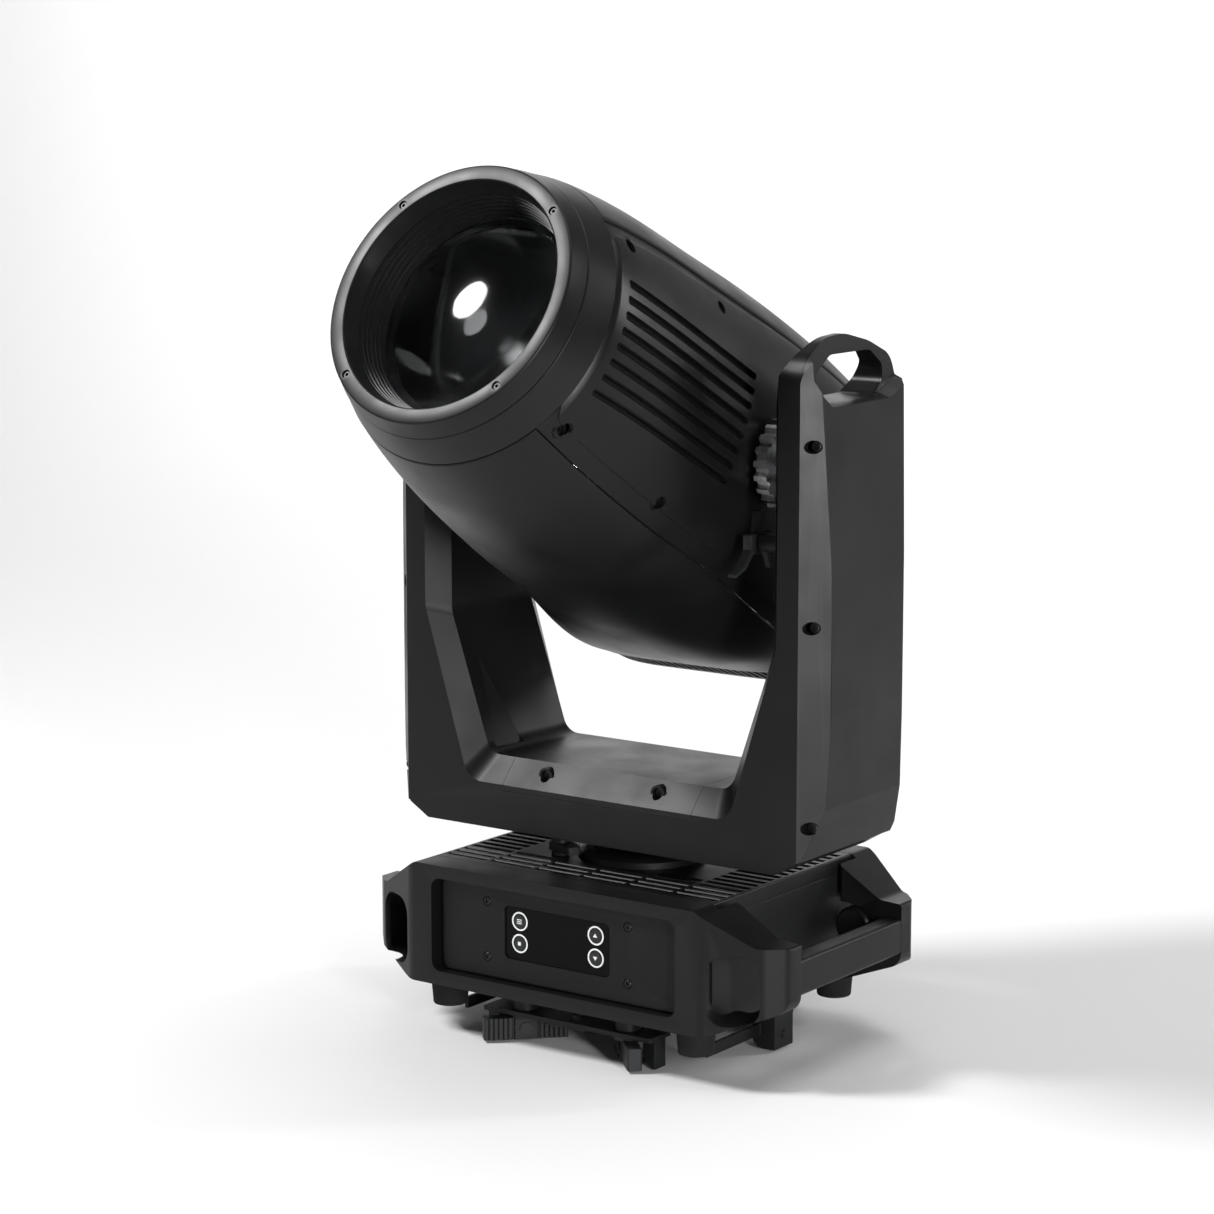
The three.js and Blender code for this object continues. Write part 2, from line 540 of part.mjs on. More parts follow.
// Arm cover: a shell outside the joint plane, bevelled all round, with the scoop of the carry handle.
function armCover() {
  const inner = YOKE_SIDE + GAP;
  const side = rounded([[inner, 140], [inner + 2, 140], [COVER_SIDE - 3, 183], [COVER_SIDE, 260],
    [COVER_SIDE - 1, 380], [COVER_SIDE - 6, 500], [COVER_SIDE - 11, 600], [inner, 600]],
  [0, 0, 6, 40, 40, 0, 0, 0], 3);
  const plan = rounded([[inner, YOKE_FRONT], [COVER_SIDE, YOKE_FRONT + 20], [COVER_SIDE, YOKE_BACK - 20],
    [inner, YOKE_BACK]], [0, 3, 3, 0], 3);
  const outer = common(prismY(side, YOKE_FRONT, YOKE_BACK), prismZ(plan, 100, 600), rearTaper(),
    prismX(archProfile(YOKE_BOTTOM), 190, 230));
  const hollowPlan = [[inner - 5, YOKE_FRONT + 5], [inner, YOKE_FRONT + 5], [COVER_SIDE - 8, YOKE_FRONT + 21],
    [COVER_SIDE - 8, YOKE_BACK - 21], [inner, YOKE_BACK - 5], [inner - 5, YOKE_BACK - 5]];
  const hollow = prismZ(hollowPlan, 196, 491);
  const scoop = loft(rounded(SCOOP_FLOOR, SCOOP_ROUND, 2), rounded(SCOOP_LIP, SCOOP_ROUND, 2),
    ([y, z], end) => [inner + 1.5 + end * 20, y, z]);
  const hole = prismX(rounded(HOLE, HOLE_ROUND, 3), inner - 5, COVER_SIDE);
  return cut(outer, hollow, scoop, hole);
}

function tiltBearing() {
  return ring(BEARING.inner, BEARING.outer, BEARING.from, BEARING.to, 'x', [0, 0, TILT_Z], 32);
}

const MOTOR = { half: 21, z: 330 };
const SMALL_PULLEY = 11;
const BIG_PULLEY = 33;
const BELT = { from: 196, to: 206, thick: 2 };
function tiltMotor() {
  const body = block([-194, -MOTOR.half, MOTOR.z - MOTOR.half], [-172, MOTOR.half, MOTOR.z + MOTOR.half]);
  return join(body, disc(3, -208, -193, 'x', [0, 0, MOTOR.z], 16));
}

function tiltMotorPulley() {
  return turned(pulleyProfile(3 + GAP, SMALL_PULLEY, -BELT.to, -BELT.from), 'x', [0, 0, MOTOR.z], 16);
}

// Belt loop round both pulleys, drawn as the outline of its outer and inner runs.
function beltLoop(grow) {
  const span = TILT_Z - MOTOR.z;
  const big = BIG_PULLEY + 2 * GAP + grow;
  const small = SMALL_PULLEY + 2 * GAP + grow;
  const lean = Math.asin((big - small) / span);
  const points = [];
  const arc = (r, z, from, to) => {
    for (let k = 0; k <= 14; k += 1) {
      const angle = from + ((to - from) * k) / 14;
      points.push([r * Math.cos(angle), z + r * Math.sin(angle)]);
    }
  };
  arc(big, TILT_Z, -lean, Math.PI + lean);
  arc(small, MOTOR.z, Math.PI + lean, 2 * Math.PI - lean);
  return points;
}

function tiltBelt() {
  const loop = prismX(beltLoop(BELT.thick), -BELT.to + 1 + GAP, -BELT.from - 1 - GAP);
  return cut(loop, prismX(beltLoop(0), -BELT.to, -BELT.from));
}

const PAN_MOTOR = { x: 82, r: 14 };
function panMotor() {
  const body = block([PAN_MOTOR.x - 14, -MOTOR.half, 156], [PAN_MOTOR.x + 14, MOTOR.half, 182]);
  return join(body, disc(3, 137, 157, 'z', [PAN_MOTOR.x, 0, 0], 16));
}

function panMotorPulley() {
  const profile = pulleyProfile(3 + GAP, PAN_MOTOR.r, PAN_PULLEY.low, PAN_PULLEY.high);
  return turned(profile, 'z', [PAN_MOTOR.x, 0, 0], 16);
}

// Lever on the right arm that blocks the toothed disc: a plate with a finger towards the disc,
// a long bent grip and a short tail.
const TILT_LOCK = { y: -36, z: 391, plate: 134.5, thick: 8, from: ARM_INNER - GAP };
function tiltLock() {
  const { plate, thick, from } = TILT_LOCK;
  const body = prismX(rounded([[-17, -8], [14, -8], [14, 8], [3, 8], [6, 26], [-3, 26], [-6, 8], [-17, 8]],
    [1, 1, 1, 0, 1, 1, 0, 1], 2), plate, plate + thick);
  const grip = prismX([[-17, -4], [-26, -16], [-38, -21], [-39, -24], [-24, -19], [-12, -6]], plate, plate + thick);
  const tail = prismX([[9, -6], [14, -5], [20, -22], [17, -23]], plate, plate + thick - 3);
  const hub = disc(7, plate + 1, from, 'x', [0, 0, 0], 20);
  return toGeometry(join(body, grip, tail, hub)).translate(0, TILT_LOCK.y, TILT_LOCK.z);
}

function buildYoke() {
  place(yoke, 'yoke_frame', yokeFrame(), LOOK.shell);
  place(yoke, 'crossbar_cover', crossbarCover(), LOOK.shell);
  place(yoke, 'arm_cover_right', armCover(), LOOK.shell);
  place(yoke, 'arm_cover_left', mirrored(armCover(), 'x'), LOOK.shell);
  place(yoke, 'tilt_bearing_right', tiltBearing(), LOOK.steel);
  place(yoke, 'tilt_bearing_left', mirrored(tiltBearing(), 'x'), LOOK.steel);
  place(yoke, 'tilt_motor', tiltMotor(), LOOK.dark);
  place(yoke, 'tilt_motor_pulley', tiltMotorPulley(), LOOK.aluminium);
  place(yoke, 'tilt_belt', tiltBelt(), LOOK.rubber);
  place(yoke, 'pan_motor', panMotor(), LOOK.dark);
  place(yoke, 'pan_motor_pulley', panMotorPulley(), LOOK.aluminium);
  place(yoke, 'tilt_lock', tiltLock(), LOOK.knob);
}

// ---------- head ----------
// In the head's own frame the lens looks along +Z, +Y is the head's top and X is the tilt axis.
const stations = (key) => new THREE.CubicInterpolant(HEAD.at, HEAD[key], 1, new Float64Array(1));
const SECTION_KEYS = ['width', 'top', 'bottom', 'square', 'squareLow'];
const SECTION = Object.fromEntries(SECTION_KEYS.map((key) => [key, stations(key)]));
const valueAt = (key, a) => SECTION[key].evaluate(a)[0];

// Point of the head's skin at distance a along the axis and an angle round it.
function skin(a, angle, inset = 0) {
  const c = Math.cos(angle);
  const s = Math.sin(angle);
  const power = 2 / valueAt(s > 0 ? 'square' : 'squareLow', a);
  const w = valueAt('width', a) - inset;
  const h = valueAt(s > 0 ? 'top' : 'bottom', a) - inset;
  return [w * Math.sign(c) * Math.abs(c) ** power, h * Math.sign(s) * Math.abs(s) ** power, a];
}

// Closed curved panel: a patch of the skin between two stations and two seams, one wall thick.
function skinPanel(from, to, start, end, along, round) {
  const corners = [];
  const index = [];
  const across = round + 1;
  const layer = (along + 1) * across;
  [0, WALL].forEach((depth) => {
    for (let i = 0; i <= along; i += 1) {
      const a = from + ((to - from) * i) / along;
      for (let j = 0; j <= round; j += 1) {
        const angle = THREE.MathUtils.degToRad(start(a) + ((end(a) - start(a)) * j) / round);
        corners.push(...skin(a, angle, depth));
      }
    }
  });
  const quad = (a, b, c, d) => index.push(a, b, c, a, c, d);
  for (let i = 0; i < along; i += 1) {
    for (let j = 0; j < round; j += 1) {
      const k = i * across + j;
      quad(k, k + 1, k + across + 1, k + across);
      quad(layer + k, layer + k + across, layer + k + across + 1, layer + k + 1);
    }
  }
  for (let j = 0; j < round; j += 1) {
    const k = along * across + j;
    quad(j + 1, j, layer + j, layer + j + 1);
    quad(k, k + 1, layer + k + 1, layer + k);
  }
  for (let i = 0; i < along; i += 1) {
    const k = i * across;
    const m = k + round;
    quad(k, k + across, layer + k + across, layer + k);
    quad(m + across, m, layer + m, layer + m + across);
  }
  const geometry = new THREE.BufferGeometry();
  geometry.setAttribute('position', new THREE.Float32BufferAttribute(corners, 3));
  geometry.setIndex(index);
  return outward(geometry);
}

const SEAM = 0.25;                // half the seam between covers, in degrees

// Angles round the axis at which the side panels end, at distance a along it.
const panelTop = (a) => 44.3 + a * 0.005;
const panelLow = (a) => -39 - a * 0.024;

const SIDE_SLOTS = { count: 8, top: 44, pitch: 13.2, front: 244, lean: -2.4 };
function sidePanel() {
  const panel = skinPanel(REAR_SPLIT, SPLIT, (a) => panelLow(a) + SEAM, (a) => panelTop(a) - SEAM, 8, 8);
  const slots = [];
  for (let i = 0; i < SIDE_SLOTS.count; i += 1) {
    const slot = block([90, -2.2, -190], [150, 2.2, 0]);
    slot.rotateX(THREE.MathUtils.degToRad(-SIDE_SLOTS.lean));
    slots.push(slot.translate(0, SIDE_SLOTS.top - i * SIDE_SLOTS.pitch, SIDE_SLOTS.front));
  }
  return cut(panel, ...slots, disc(24, 80, 150, 'x', [0, 0, 0], 32));
}

function topCover() {
  return skinPanel(REAR_SPLIT, SPLIT, (a) => panelTop(a) + SEAM, (a) => 180 - panelTop(a) - SEAM, 8, 8);
}

function bottomCover() {
  return skinPanel(REAR_SPLIT, SPLIT, (a) => 180 - panelLow(a) + SEAM, (a) => 360 + panelLow(a) - SEAM, 8, 8);
}

const coneRadius = (a) => BEZEL_R + ((LENS_FACE - a) * (125 - BEZEL_R)) / (LENS_FACE - SPLIT);
const BEZEL_BACK = 286;
function bezel() {
  return turned([[BEZEL_HOLE_R + 1, LENS_FACE], [BEZEL_R - 1.5, LENS_FACE], [BEZEL_R, LENS_FACE - 1.5],
    [coneRadius(BEZEL_BACK), BEZEL_BACK], [BEZEL_HOLE_R - 3, BEZEL_BACK], [BEZEL_HOLE_R, LENS_FACE - 1],
    [BEZEL_HOLE_R + 1, LENS_FACE]], 'z', [0, 0, 0], 48);
}

function barrel() {
  const front = BEZEL_BACK - 0.8;
  return turned([[coneRadius(front), front], [coneRadius(SPLIT), SPLIT + GAP], [coneRadius(SPLIT) - 4, SPLIT + GAP],
    [coneRadius(front) - 5, front], [coneRadius(front), front]], 'z', [0, 0, 0], 48);
}

const LENS = { r: 87, rim: 258, bulge: 20 };
function lensHolder() {
  return turned([[BEZEL_HOLE_R - 3.5, BEZEL_BACK - 1], [BEZEL_HOLE_R - 1, BEZEL_BACK - 1], [BEZEL_HOLE_R - 1, 240],
    [80, 240], [80, 250], [LENS.r + 0.5, 250], [LENS.r + 0.5, LENS.rim + 6], [LENS.r + 3, LENS.rim + 6],
    [LENS.r + 3, LENS.rim + 14], [LENS.r + 5.5, LENS.rim + 14], [BEZEL_HOLE_R - 3.5, BEZEL_BACK - 1]],
  'z', [0, 0, 0], 28);
}

// Plano-convex disc: flat back, domed front.
function lensDisc(r, back, rim, bulge, segments) {
  const profile = [[0, back], [r, back], [r, rim]];
  for (let k = 1; k <= 4; k += 1) {
    const share = Math.cos((k / 4) * (Math.PI / 2));
    profile.push([k === 4 ? 0 : r * share, rim + bulge * (1 - share ** 2)]);
  }
  return turned(profile, 'z', [0, 0, 0], segments);
}

// Rear cap: a cup whose skin continues the covers a little smaller, slotted for the cooling air.
const REAR = { inset: 2, from: HEAD_BACK, lip: REAR_SPLIT - 2.5 };
function rearGrille() {
  const rim = 24;
  const ringAt = (a, inset) => {
    const points = [];
    for (let i = 0; i < rim; i += 1) {
      const [x, y] = skin(a, (i / rim) * Math.PI * 2, inset);
      points.push([x, y]);
    }
    return points;
  };
  const stack = (levels) => {
    const parts = levels.slice(1).map(([a, inset], i) => {
      const [b, wide] = levels[i];
      return loft(ringAt(b, wide), ringAt(a, inset), ([x, y], end) => [x, y, end ? a : b]);
    });
    return join(...parts);
  };
  const outer = stack([[REAR.lip, REAR.inset], [-188, REAR.inset], [REAR.from, REAR.inset + 9]]);
  const inner = stack([[REAR.lip + 1, REAR.inset + WALL], [-187, REAR.inset + WALL], [-193, REAR.inset + 12]]);
  const slots = [];
  for (let i = -4; i <= 4; i += 1) {
    [[30, 170], [-150, -30]].forEach(([low, high]) => {
      slots.push(block([i * 20 - 5, low, HEAD_BACK - 5], [i * 20 + 5, high, -166]));
    });
  }
  const band = [-1, 1].map((side) => block([side * 60 - 40, -14, HEAD_BACK - 5], [side * 60 + 40, 14, -180]));
  return cut(outer, inner, ...slots, ...band);
}

const TUBE = { x: 92, y: 84, back: -60, front: 170, wall: 3 };
const SHAFT_R = 17;
function headFrame() {
  const tube = block([-TUBE.x, -TUBE.y, TUBE.back], [TUBE.x, TUBE.y, TUBE.front]);
  const inside = block([-TUBE.x + TUBE.wall, -TUBE.y + TUBE.wall, TUBE.back - 5],
    [TUBE.x - TUBE.wall, TUBE.y - TUBE.wall, TUBE.front + 5]);
  const stubs = [[TUBE.x - 2, 176], [-208, -TUBE.x + 2]].map(([from, to]) => disc(SHAFT_R, from, to, 'x'));
  const bore = disc(9, -220, 220, 'x', [0, 0, 0], 16);
  const wheel = turned(pulleyProfile(SHAFT_R - 1, BIG_PULLEY, -BELT.to, -BELT.from), 'x');
  return cut(join(cut(tube, inside), ...stubs, wheel), bore);
}

// Toothed disc on the right shaft that the tilt lock catches.
const LOCK_DISC = { teeth: 20, r: 38, from: 134, to: 146 };
function tiltLockDisc() {
  const rim = prismX(toothed(LOCK_DISC.teeth, LOCK_DISC.r - 4, LOCK_DISC.r), LOCK_DISC.from, LOCK_DISC.to);
  return cut(rim, disc(SHAFT_R + GAP, LOCK_DISC.from - 1, LOCK_DISC.to + 1, 'x', [0, 0, 0], 24));
}

function ledEngine() {
  const body = block([-50, -50, -112], [50, 50, -78]);
  return join(body, turned([[0, -80], [38, -80], [26, -64], [0, -64]], 'z', [0, 0, 0], 24));
}

function heatSink() {
  const half = { x: 84, y: 78 };
  const fins = 11;
  const pitch = (2 * half.x) / (fins - 0.5);
  const points = [[-half.x, -112.5]];
  for (let i = 0; i < fins; i += 1) {
    const x = -half.x + i * pitch;
    points.push([x, -148], [x + pitch / 2, -148]);
    if (i < fins - 1) points.push([x + pitch / 2, -122], [x + pitch, -122]);
  }
  points.push([half.x, -112.5]);
  return prismY(points.reverse(), -half.y, half.y);
}

const FAN = { r: 62, hub: 20, blades: 7, from: -176, to: -160 };
function coolingFan() {
  const blades = [];
  for (let i = 0; i < FAN.blades; i += 1) {
    const blade = block([FAN.hub - 4, -1.2, -9], [FAN.r, 1.2, 9]).rotateX(THREE.MathUtils.degToRad(55));
    blades.push(blade.rotateZ((i / FAN.blades) * Math.PI * 2).translate(0, 0, (FAN.from + FAN.to) / 2));
  }
  return join(disc(FAN.hub, FAN.from, FAN.to, 'z', [0, 0, 0], 20), ...blades);
}

const GOBO = { y: -18, r: 58, from: -22, to: -18, orbit: 40, window: 13, count: 6 };
function goboWheel() {
  const plate = disc(GOBO.r, GOBO.from, GOBO.to, 'z', [0, 0, 0], 28);
  const windows = [];
  for (let i = 0; i < GOBO.count; i += 1) {
    const angle = (i / GOBO.count) * Math.PI * 2 + Math.PI / 2;
    const centre = [GOBO.orbit * Math.cos(angle), GOBO.orbit * Math.sin(angle), 0];
    windows.push(disc(GOBO.window, GOBO.from - 1, GOBO.to + 1, 'z', centre, 12));
  }
  return toGeometry(cut(plate, ...windows, disc(4 + GAP, -40, 0, 'z', [0, 0, 0], 16))).translate(0, GOBO.y, 0);
}

// Bulkhead across the tube: it carries the wheel's spindle and the two rods that the zoom runs on.
const RAIL = { x: 76, r: 4 };
function effectPlate() {
  const reach = { x: TUBE.x - TUBE.wall - GAP, y: TUBE.y - TUBE.wall - GAP };
  const plate = block([-reach.x, -reach.y, -40], [reach.x, reach.y, -34]);
  const spindle = disc(4, -36, -12, 'z', [0, GOBO.y, 0], 16);
  const rods = [-1, 1].map((side) => disc(RAIL.r, -36, 166, 'z', [side * RAIL.x, 0, 0], 12));
  return cut(join(plate, spindle, ...rods), disc(16, -50, -20, 'z', [0, GOBO.y + GOBO.orbit, 0], 20));
}

const ZOOM = { at: 70, r: 62, width: 14 };
function zoomCarriage() {
  const cell = ring(ZOOM.r - 6, ZOOM.r, ZOOM.at - ZOOM.width / 2, ZOOM.at + ZOOM.width / 2, 'z', [0, 0, 0], 24);
  const ears = [-1, 1].map((side) => cut(
    block([side * 71 - 12, -8, ZOOM.at - 7], [side * 71 + 12, 8, ZOOM.at + 7]),
    disc(RAIL.r + GAP, 0, 200, 'z', [side * RAIL.x, 0, 0], 12)));
  const lens = lensDisc(ZOOM.r - 5, ZOOM.at - 5, ZOOM.at - 1, 10, 24);
  return join(cell, ...ears, lens);
}

function buildHead() {
  place(head, 'bezel_ring', bezel(), LOOK.shell);
  place(head, 'front_barrel', barrel(), LOOK.shell);
  place(head, 'lens_holder', lensHolder(), LOOK.dark);
  place(head, 'front_lens', lensDisc(LENS.r, 251, LENS.rim, LENS.bulge, 28), LOOK.glass);
  place(head, 'top_cover', topCover(), LOOK.shell);
  place(head, 'bottom_cover', bottomCover(), LOOK.shell);
  place(head, 'side_panel_right', sidePanel(), LOOK.shell);
  place(head, 'side_panel_left', mirrored(sidePanel(), 'x'), LOOK.shell);
  place(head, 'rear_grille', rearGrille(), LOOK.shell);
  place(head, 'head_frame', headFrame(), LOOK.aluminium);
  place(head, 'tilt_lock_disc', tiltLockDisc(), LOOK.steel);
  place(head, 'led_engine', ledEngine(), LOOK.aluminium);
  place(head, 'heat_sink', heatSink(), LOOK.aluminium);
  place(head, 'cooling_fan', coolingFan(), LOOK.key);
  place(head, 'effect_plate', effectPlate(), LOOK.dark);
  place(head, 'gobo_wheel', goboWheel(), LOOK.aluminium);
  place(head, 'zoom_carriage', zoomCarriage(), LOOK.dark);
}

buildBase();
buildYoke();
buildHead();

export default light;
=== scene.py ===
"""Moving head light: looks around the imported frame.

Lengths are in millimetres. The stage, the lights and the camera are in metres.
"""

import json
import math

import bmesh
import bpy
from mathutils import Matrix, Vector


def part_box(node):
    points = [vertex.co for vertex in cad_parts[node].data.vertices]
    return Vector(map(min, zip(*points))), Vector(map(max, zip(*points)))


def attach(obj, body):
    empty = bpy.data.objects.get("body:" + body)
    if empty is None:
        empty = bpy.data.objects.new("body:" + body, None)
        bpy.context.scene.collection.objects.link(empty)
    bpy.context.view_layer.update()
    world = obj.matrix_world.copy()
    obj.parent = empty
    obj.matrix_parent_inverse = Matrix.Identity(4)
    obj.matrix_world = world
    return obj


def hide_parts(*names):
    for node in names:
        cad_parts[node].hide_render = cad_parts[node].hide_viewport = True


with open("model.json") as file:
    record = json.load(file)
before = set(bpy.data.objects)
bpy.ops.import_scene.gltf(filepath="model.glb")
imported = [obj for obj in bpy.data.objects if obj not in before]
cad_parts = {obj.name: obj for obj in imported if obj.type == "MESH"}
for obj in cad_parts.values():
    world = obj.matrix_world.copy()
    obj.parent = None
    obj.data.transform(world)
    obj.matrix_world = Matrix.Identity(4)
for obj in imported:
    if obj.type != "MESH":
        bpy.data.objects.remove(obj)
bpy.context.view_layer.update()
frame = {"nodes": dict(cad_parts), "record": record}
NODES = frame["nodes"]
MM = 0.001
BODY_OF = {node: body for body, nodes in frame["record"]["behaviour"]["bodies"].items() for node in nodes}
SLOT_OF = {row["node"]: row["material_slot"] for row in frame["record"]["subparts"]}

TILT_Z = 451.6
TILT_REST = math.radians(60.45)
AXIS = Vector((0, -math.sin(TILT_REST), math.cos(TILT_REST)))
HEAD_MATRIX = Matrix.Translation((0, 0, TILT_Z)) @ Matrix.Rotation(TILT_REST, 4, "X")


# ---------- materials ----------
def new_material(name, color, roughness, metallic=0.0):
    mat = bpy.data.materials.new(name)
    mat.use_nodes = True
    shader = mat.node_tree.nodes["Principled BSDF"]
    shader.inputs["Base Color"].default_value = (*color, 1)
    shader.inputs["Roughness"].default_value = roughness
    shader.inputs["Metallic"].default_value = metallic
    return mat, shader


def add_node(mat, kind, **values):
    node = mat.node_tree.nodes.new(kind)
    for key, value in values.items():
        if key in node.inputs:
            node.inputs[key].default_value = value
        else:
            setattr(node, key, value)
    return node


def object_coords(mat, scale=(1, 1, 1)):
    coords = add_node(mat, "ShaderNodeTexCoord")
    mapping = add_node(mat, "ShaderNodeMapping")
    mapping.inputs["Scale"].default_value = scale
    mat.node_tree.links.new(coords.outputs["Object"], mapping.inputs["Vector"])
    return mapping.outputs["Vector"]


def noise(mat, vector, scale, detail=3.0, roughness=0.5):
    node = add_node(mat, "ShaderNodeTexNoise")
    node.inputs["Scale"].default_value = scale
    node.inputs["Detail"].default_value = detail
    node.inputs["Roughness"].default_value = roughness
    mat.node_tree.links.new(vector, node.inputs["Vector"])
    return node.outputs["Fac"]


def remap(mat, value, low, high):
    """Spreads the middle of a noise value over a range."""
    node = add_node(mat, "ShaderNodeMapRange")
    node.inputs["From Min"].default_value = 0.3
    node.inputs["From Max"].default_value = 0.7
    node.inputs["To Min"].default_value = low
    node.inputs["To Max"].default_value = high
    mat.node_tree.links.new(value, node.inputs["Value"])
    return node.outputs["Result"]


def color_ramp(mat, value, stops):
    node = add_node(mat, "ShaderNodeValToRGB")
    ramp = node.color_ramp
    ramp.elements[0].position, ramp.elements[0].color = stops[0][0], (*stops[0][1], 1)
    ramp.elements[1].position, ramp.elements[1].color = stops[-1][0], (*stops[-1][1], 1)
    for place, color in stops[1:-1]:
        ramp.elements.new(place).color = (*color, 1)
    mat.node_tree.links.new(value, node.inputs["Fac"])
    return node.outputs["Color"]


def bump(mat, shader, height, strength, distance):
    node = add_node(mat, "ShaderNodeBump")
    node.inputs["Strength"].default_value = strength
    node.inputs["Distance"].default_value = distance
    mat.node_tree.links.new(height, node.inputs["Height"])
    mat.node_tree.links.new(node.outputs["Normal"], shader.inputs["Normal"])


def worn(mat, base, edge, low, high):
    """Base colour that turns to the edge colour where the surface is sharply convex."""
    geometry = add_node(mat, "ShaderNodeNewGeometry")
    return color_ramp(mat, geometry.outputs["Pointiness"], [(low, base), (high, edge)])


def grained(name, color, roughness, grain=1400.0, depth=0.00006, spread=0.06, edge=1.5):
    """Moulded plastic or powder coat: fine grain, slow patches of gloss and slightly rubbed edges."""
    mat, shader = new_material(name, color, roughness)
    shader.inputs["Specular IOR Level"].default_value = 0.22
    links = mat.node_tree.links
    vector = object_coords(mat)
    patches = noise(mat, vector, 22.0, 4.0)
    fine = noise(mat, vector, grain, 2.0, 0.6)
    dark = tuple(c * 0.88 for c in color)
    tone = color_ramp(mat, patches, [(0.3, dark), (0.7, color)])
    rubbed = worn(mat, (0, 0, 0), tuple(c * edge for c in color), 0.52, 0.6)
    mix = add_node(mat, "ShaderNodeMix", data_type="RGBA", blend_type="ADD")
    mix.inputs["Factor"].default_value = 0.5
    links.new(tone, mix.inputs["A"])
    links.new(rubbed, mix.inputs["B"])
    links.new(mix.outputs["Result"], shader.inputs["Base Color"])
    links.new(remap(mat, patches, roughness - spread, roughness + spread), shader.inputs["Roughness"])
    bump(mat, shader, fine, 0.35, depth)
    return mat


def brushed(name, color, roughness, stretch=(1, 40, 1)):
    """Metal with fine parallel brush marks across the stretched axis."""
    mat, shader = new_material(name, color, roughness, 1.0)
    links = mat.node_tree.links
    marks = noise(mat, object_coords(mat, stretch), 90.0, 5.0, 0.7)
    clouds = noise(mat, object_coords(mat), 14.0, 3.0)
    dull = tuple(c * 0.8 for c in color)
    links.new(color_ramp(mat, clouds, [(0.3, dull), (0.7, color)]), shader.inputs["Base Color"])
    links.new(remap(mat, marks, roughness - 0.1, roughness + 0.12), shader.inputs["Roughness"])
    bump(mat, shader, marks, 0.25, 0.00008)
    return mat


def glossy(name, color, roughness, specular=0.4):
    """Smooth glossy plastic with faint handling marks in its gloss."""
    mat, shader = new_material(name, color, roughness)
    vector = object_coords(mat)
    marks = noise(mat, vector, 60.0, 5.0, 0.65)
    gloss = remap(mat, marks, roughness * 0.8, roughness * 1.8)
    mat.node_tree.links.new(gloss, shader.inputs["Roughness"])
    shader.inputs["Specular IOR Level"].default_value = specular
    return mat


def glass(name):
    """Clear glass with a thin film of dust in its gloss."""
    mat, shader = new_material(name, (0.93, 0.96, 0.97), 0.015)
    shader.inputs["Transmission Weight"].default_value = 1.0
    shader.inputs["IOR"].default_value = 1.28
    dust = noise(mat, object_coords(mat), 40.0, 4.0)
    mat.node_tree.links.new(remap(mat, dust, 0.05, 0.09), shader.inputs["Roughness"])
    return mat


def make_materials():
    """One material for each slot of the record, and two for added pieces."""
    return {
        "shell_black": grained("shell_black", (0.005, 0.0051, 0.0055), 0.38),
        "panel_black": grained("panel_black", (0.0055, 0.0056, 0.006), 0.5, grain=2200.0, depth=0.00004),
        "frame_metal": grained("frame_metal", (0.007, 0.0072, 0.0078), 0.45, grain=900.0, depth=0.00009),
        "display_gloss": glossy("display_gloss", (0.002, 0.002, 0.0022), 0.09, specular=0.08),
        "key_plastic": glossy("key_plastic", (0.012, 0.012, 0.013), 0.35),
        "socket_steel": brushed("socket_steel", (0.52, 0.52, 0.53), 0.3, (1, 1, 30)),
        "bearing_steel": brushed("bearing_steel", (0.6, 0.6, 0.61), 0.32, (30, 1, 1)),
        "machined_aluminium": brushed("machined_aluminium", (0.6, 0.61, 0.62), 0.38, (1, 30, 1)),
        "motor_black": grained("motor_black", (0.008, 0.008, 0.0085), 0.42, grain=1200.0),
        "foot_rubber": grained("foot_rubber", (0.009, 0.009, 0.009), 0.8, grain=700.0, depth=0.00015),
        "knob_plastic": grained("knob_plastic", (0.014, 0.0145, 0.0155), 0.48, grain=1000.0),
        "lens_glass": glass("lens_glass"),
        "key_ring": glossy("key_ring", (0.75, 0.76, 0.77), 0.35),
        "screw_black": grained("screw_black", (0.008, 0.008, 0.0085), 0.35, grain=2500.0),
    }


MATERIALS = make_materials()


# ---------- mesh kit ----------
def mesh_object(name, verts, faces, matrix=None):
    """Object from points in millimetres, with doubled points merged and its normals outward."""
    mesh = bpy.data.meshes.new(name)
    placed = [(matrix @ Vector(v)) if matrix else Vector(v) for v in verts]
    mesh.from_pydata([tuple(v * MM) for v in placed], [], faces)
    mesh.validate()
    bm = bmesh.new()
    bm.from_mesh(mesh)
    bmesh.ops.remove_doubles(bm, verts=bm.verts, dist=1e-6)
    bmesh.ops.recalc_face_normals(bm, faces=bm.faces)
    bm.to_mesh(mesh)
    bm.free()
    obj = bpy.data.objects.new(name, mesh)
    bpy.context.collection.objects.link(obj)
    return obj


def rounded(points, radius, steps=6):
    """Closed outline with rounded corners: one radius, or one per corner."""
    out = []
    count = len(points)
    for i, point in enumerate(points):
        r = radius[i] if isinstance(radius, (list, tuple)) else radius
        corner = Vector(point)
        before = (Vector(points[i - 1]) - corner).normalized()
        after = (Vector(points[(i + 1) % count]) - corner).normalized()
        half = math.acos(max(-1, min(1, before.dot(after)))) / 2
        if not r or half > math.pi / 2 - 0.02:
            out.append(tuple(point))
            continue
        centre = corner + (before + after).normalized() * (r / math.sin(half))
        start = corner + before * (r / math.tan(half)) - centre
        end = corner + after * (r / math.tan(half)) - centre
        turn = math.atan2(start.x * end.y - start.y * end.x, start.dot(end))
        for k in range(steps + 1):
            angle = turn * k / steps
            out.append((centre.x + start.x * math.cos(angle) - start.y * math.sin(angle),
                        centre.y + start.x * math.sin(angle) + start.y * math.cos(angle)))
    return out


def rectangle(u0, v0, u1, v1):
    return [(u0, v0), (u1, v0), (u1, v1), (u0, v1)]


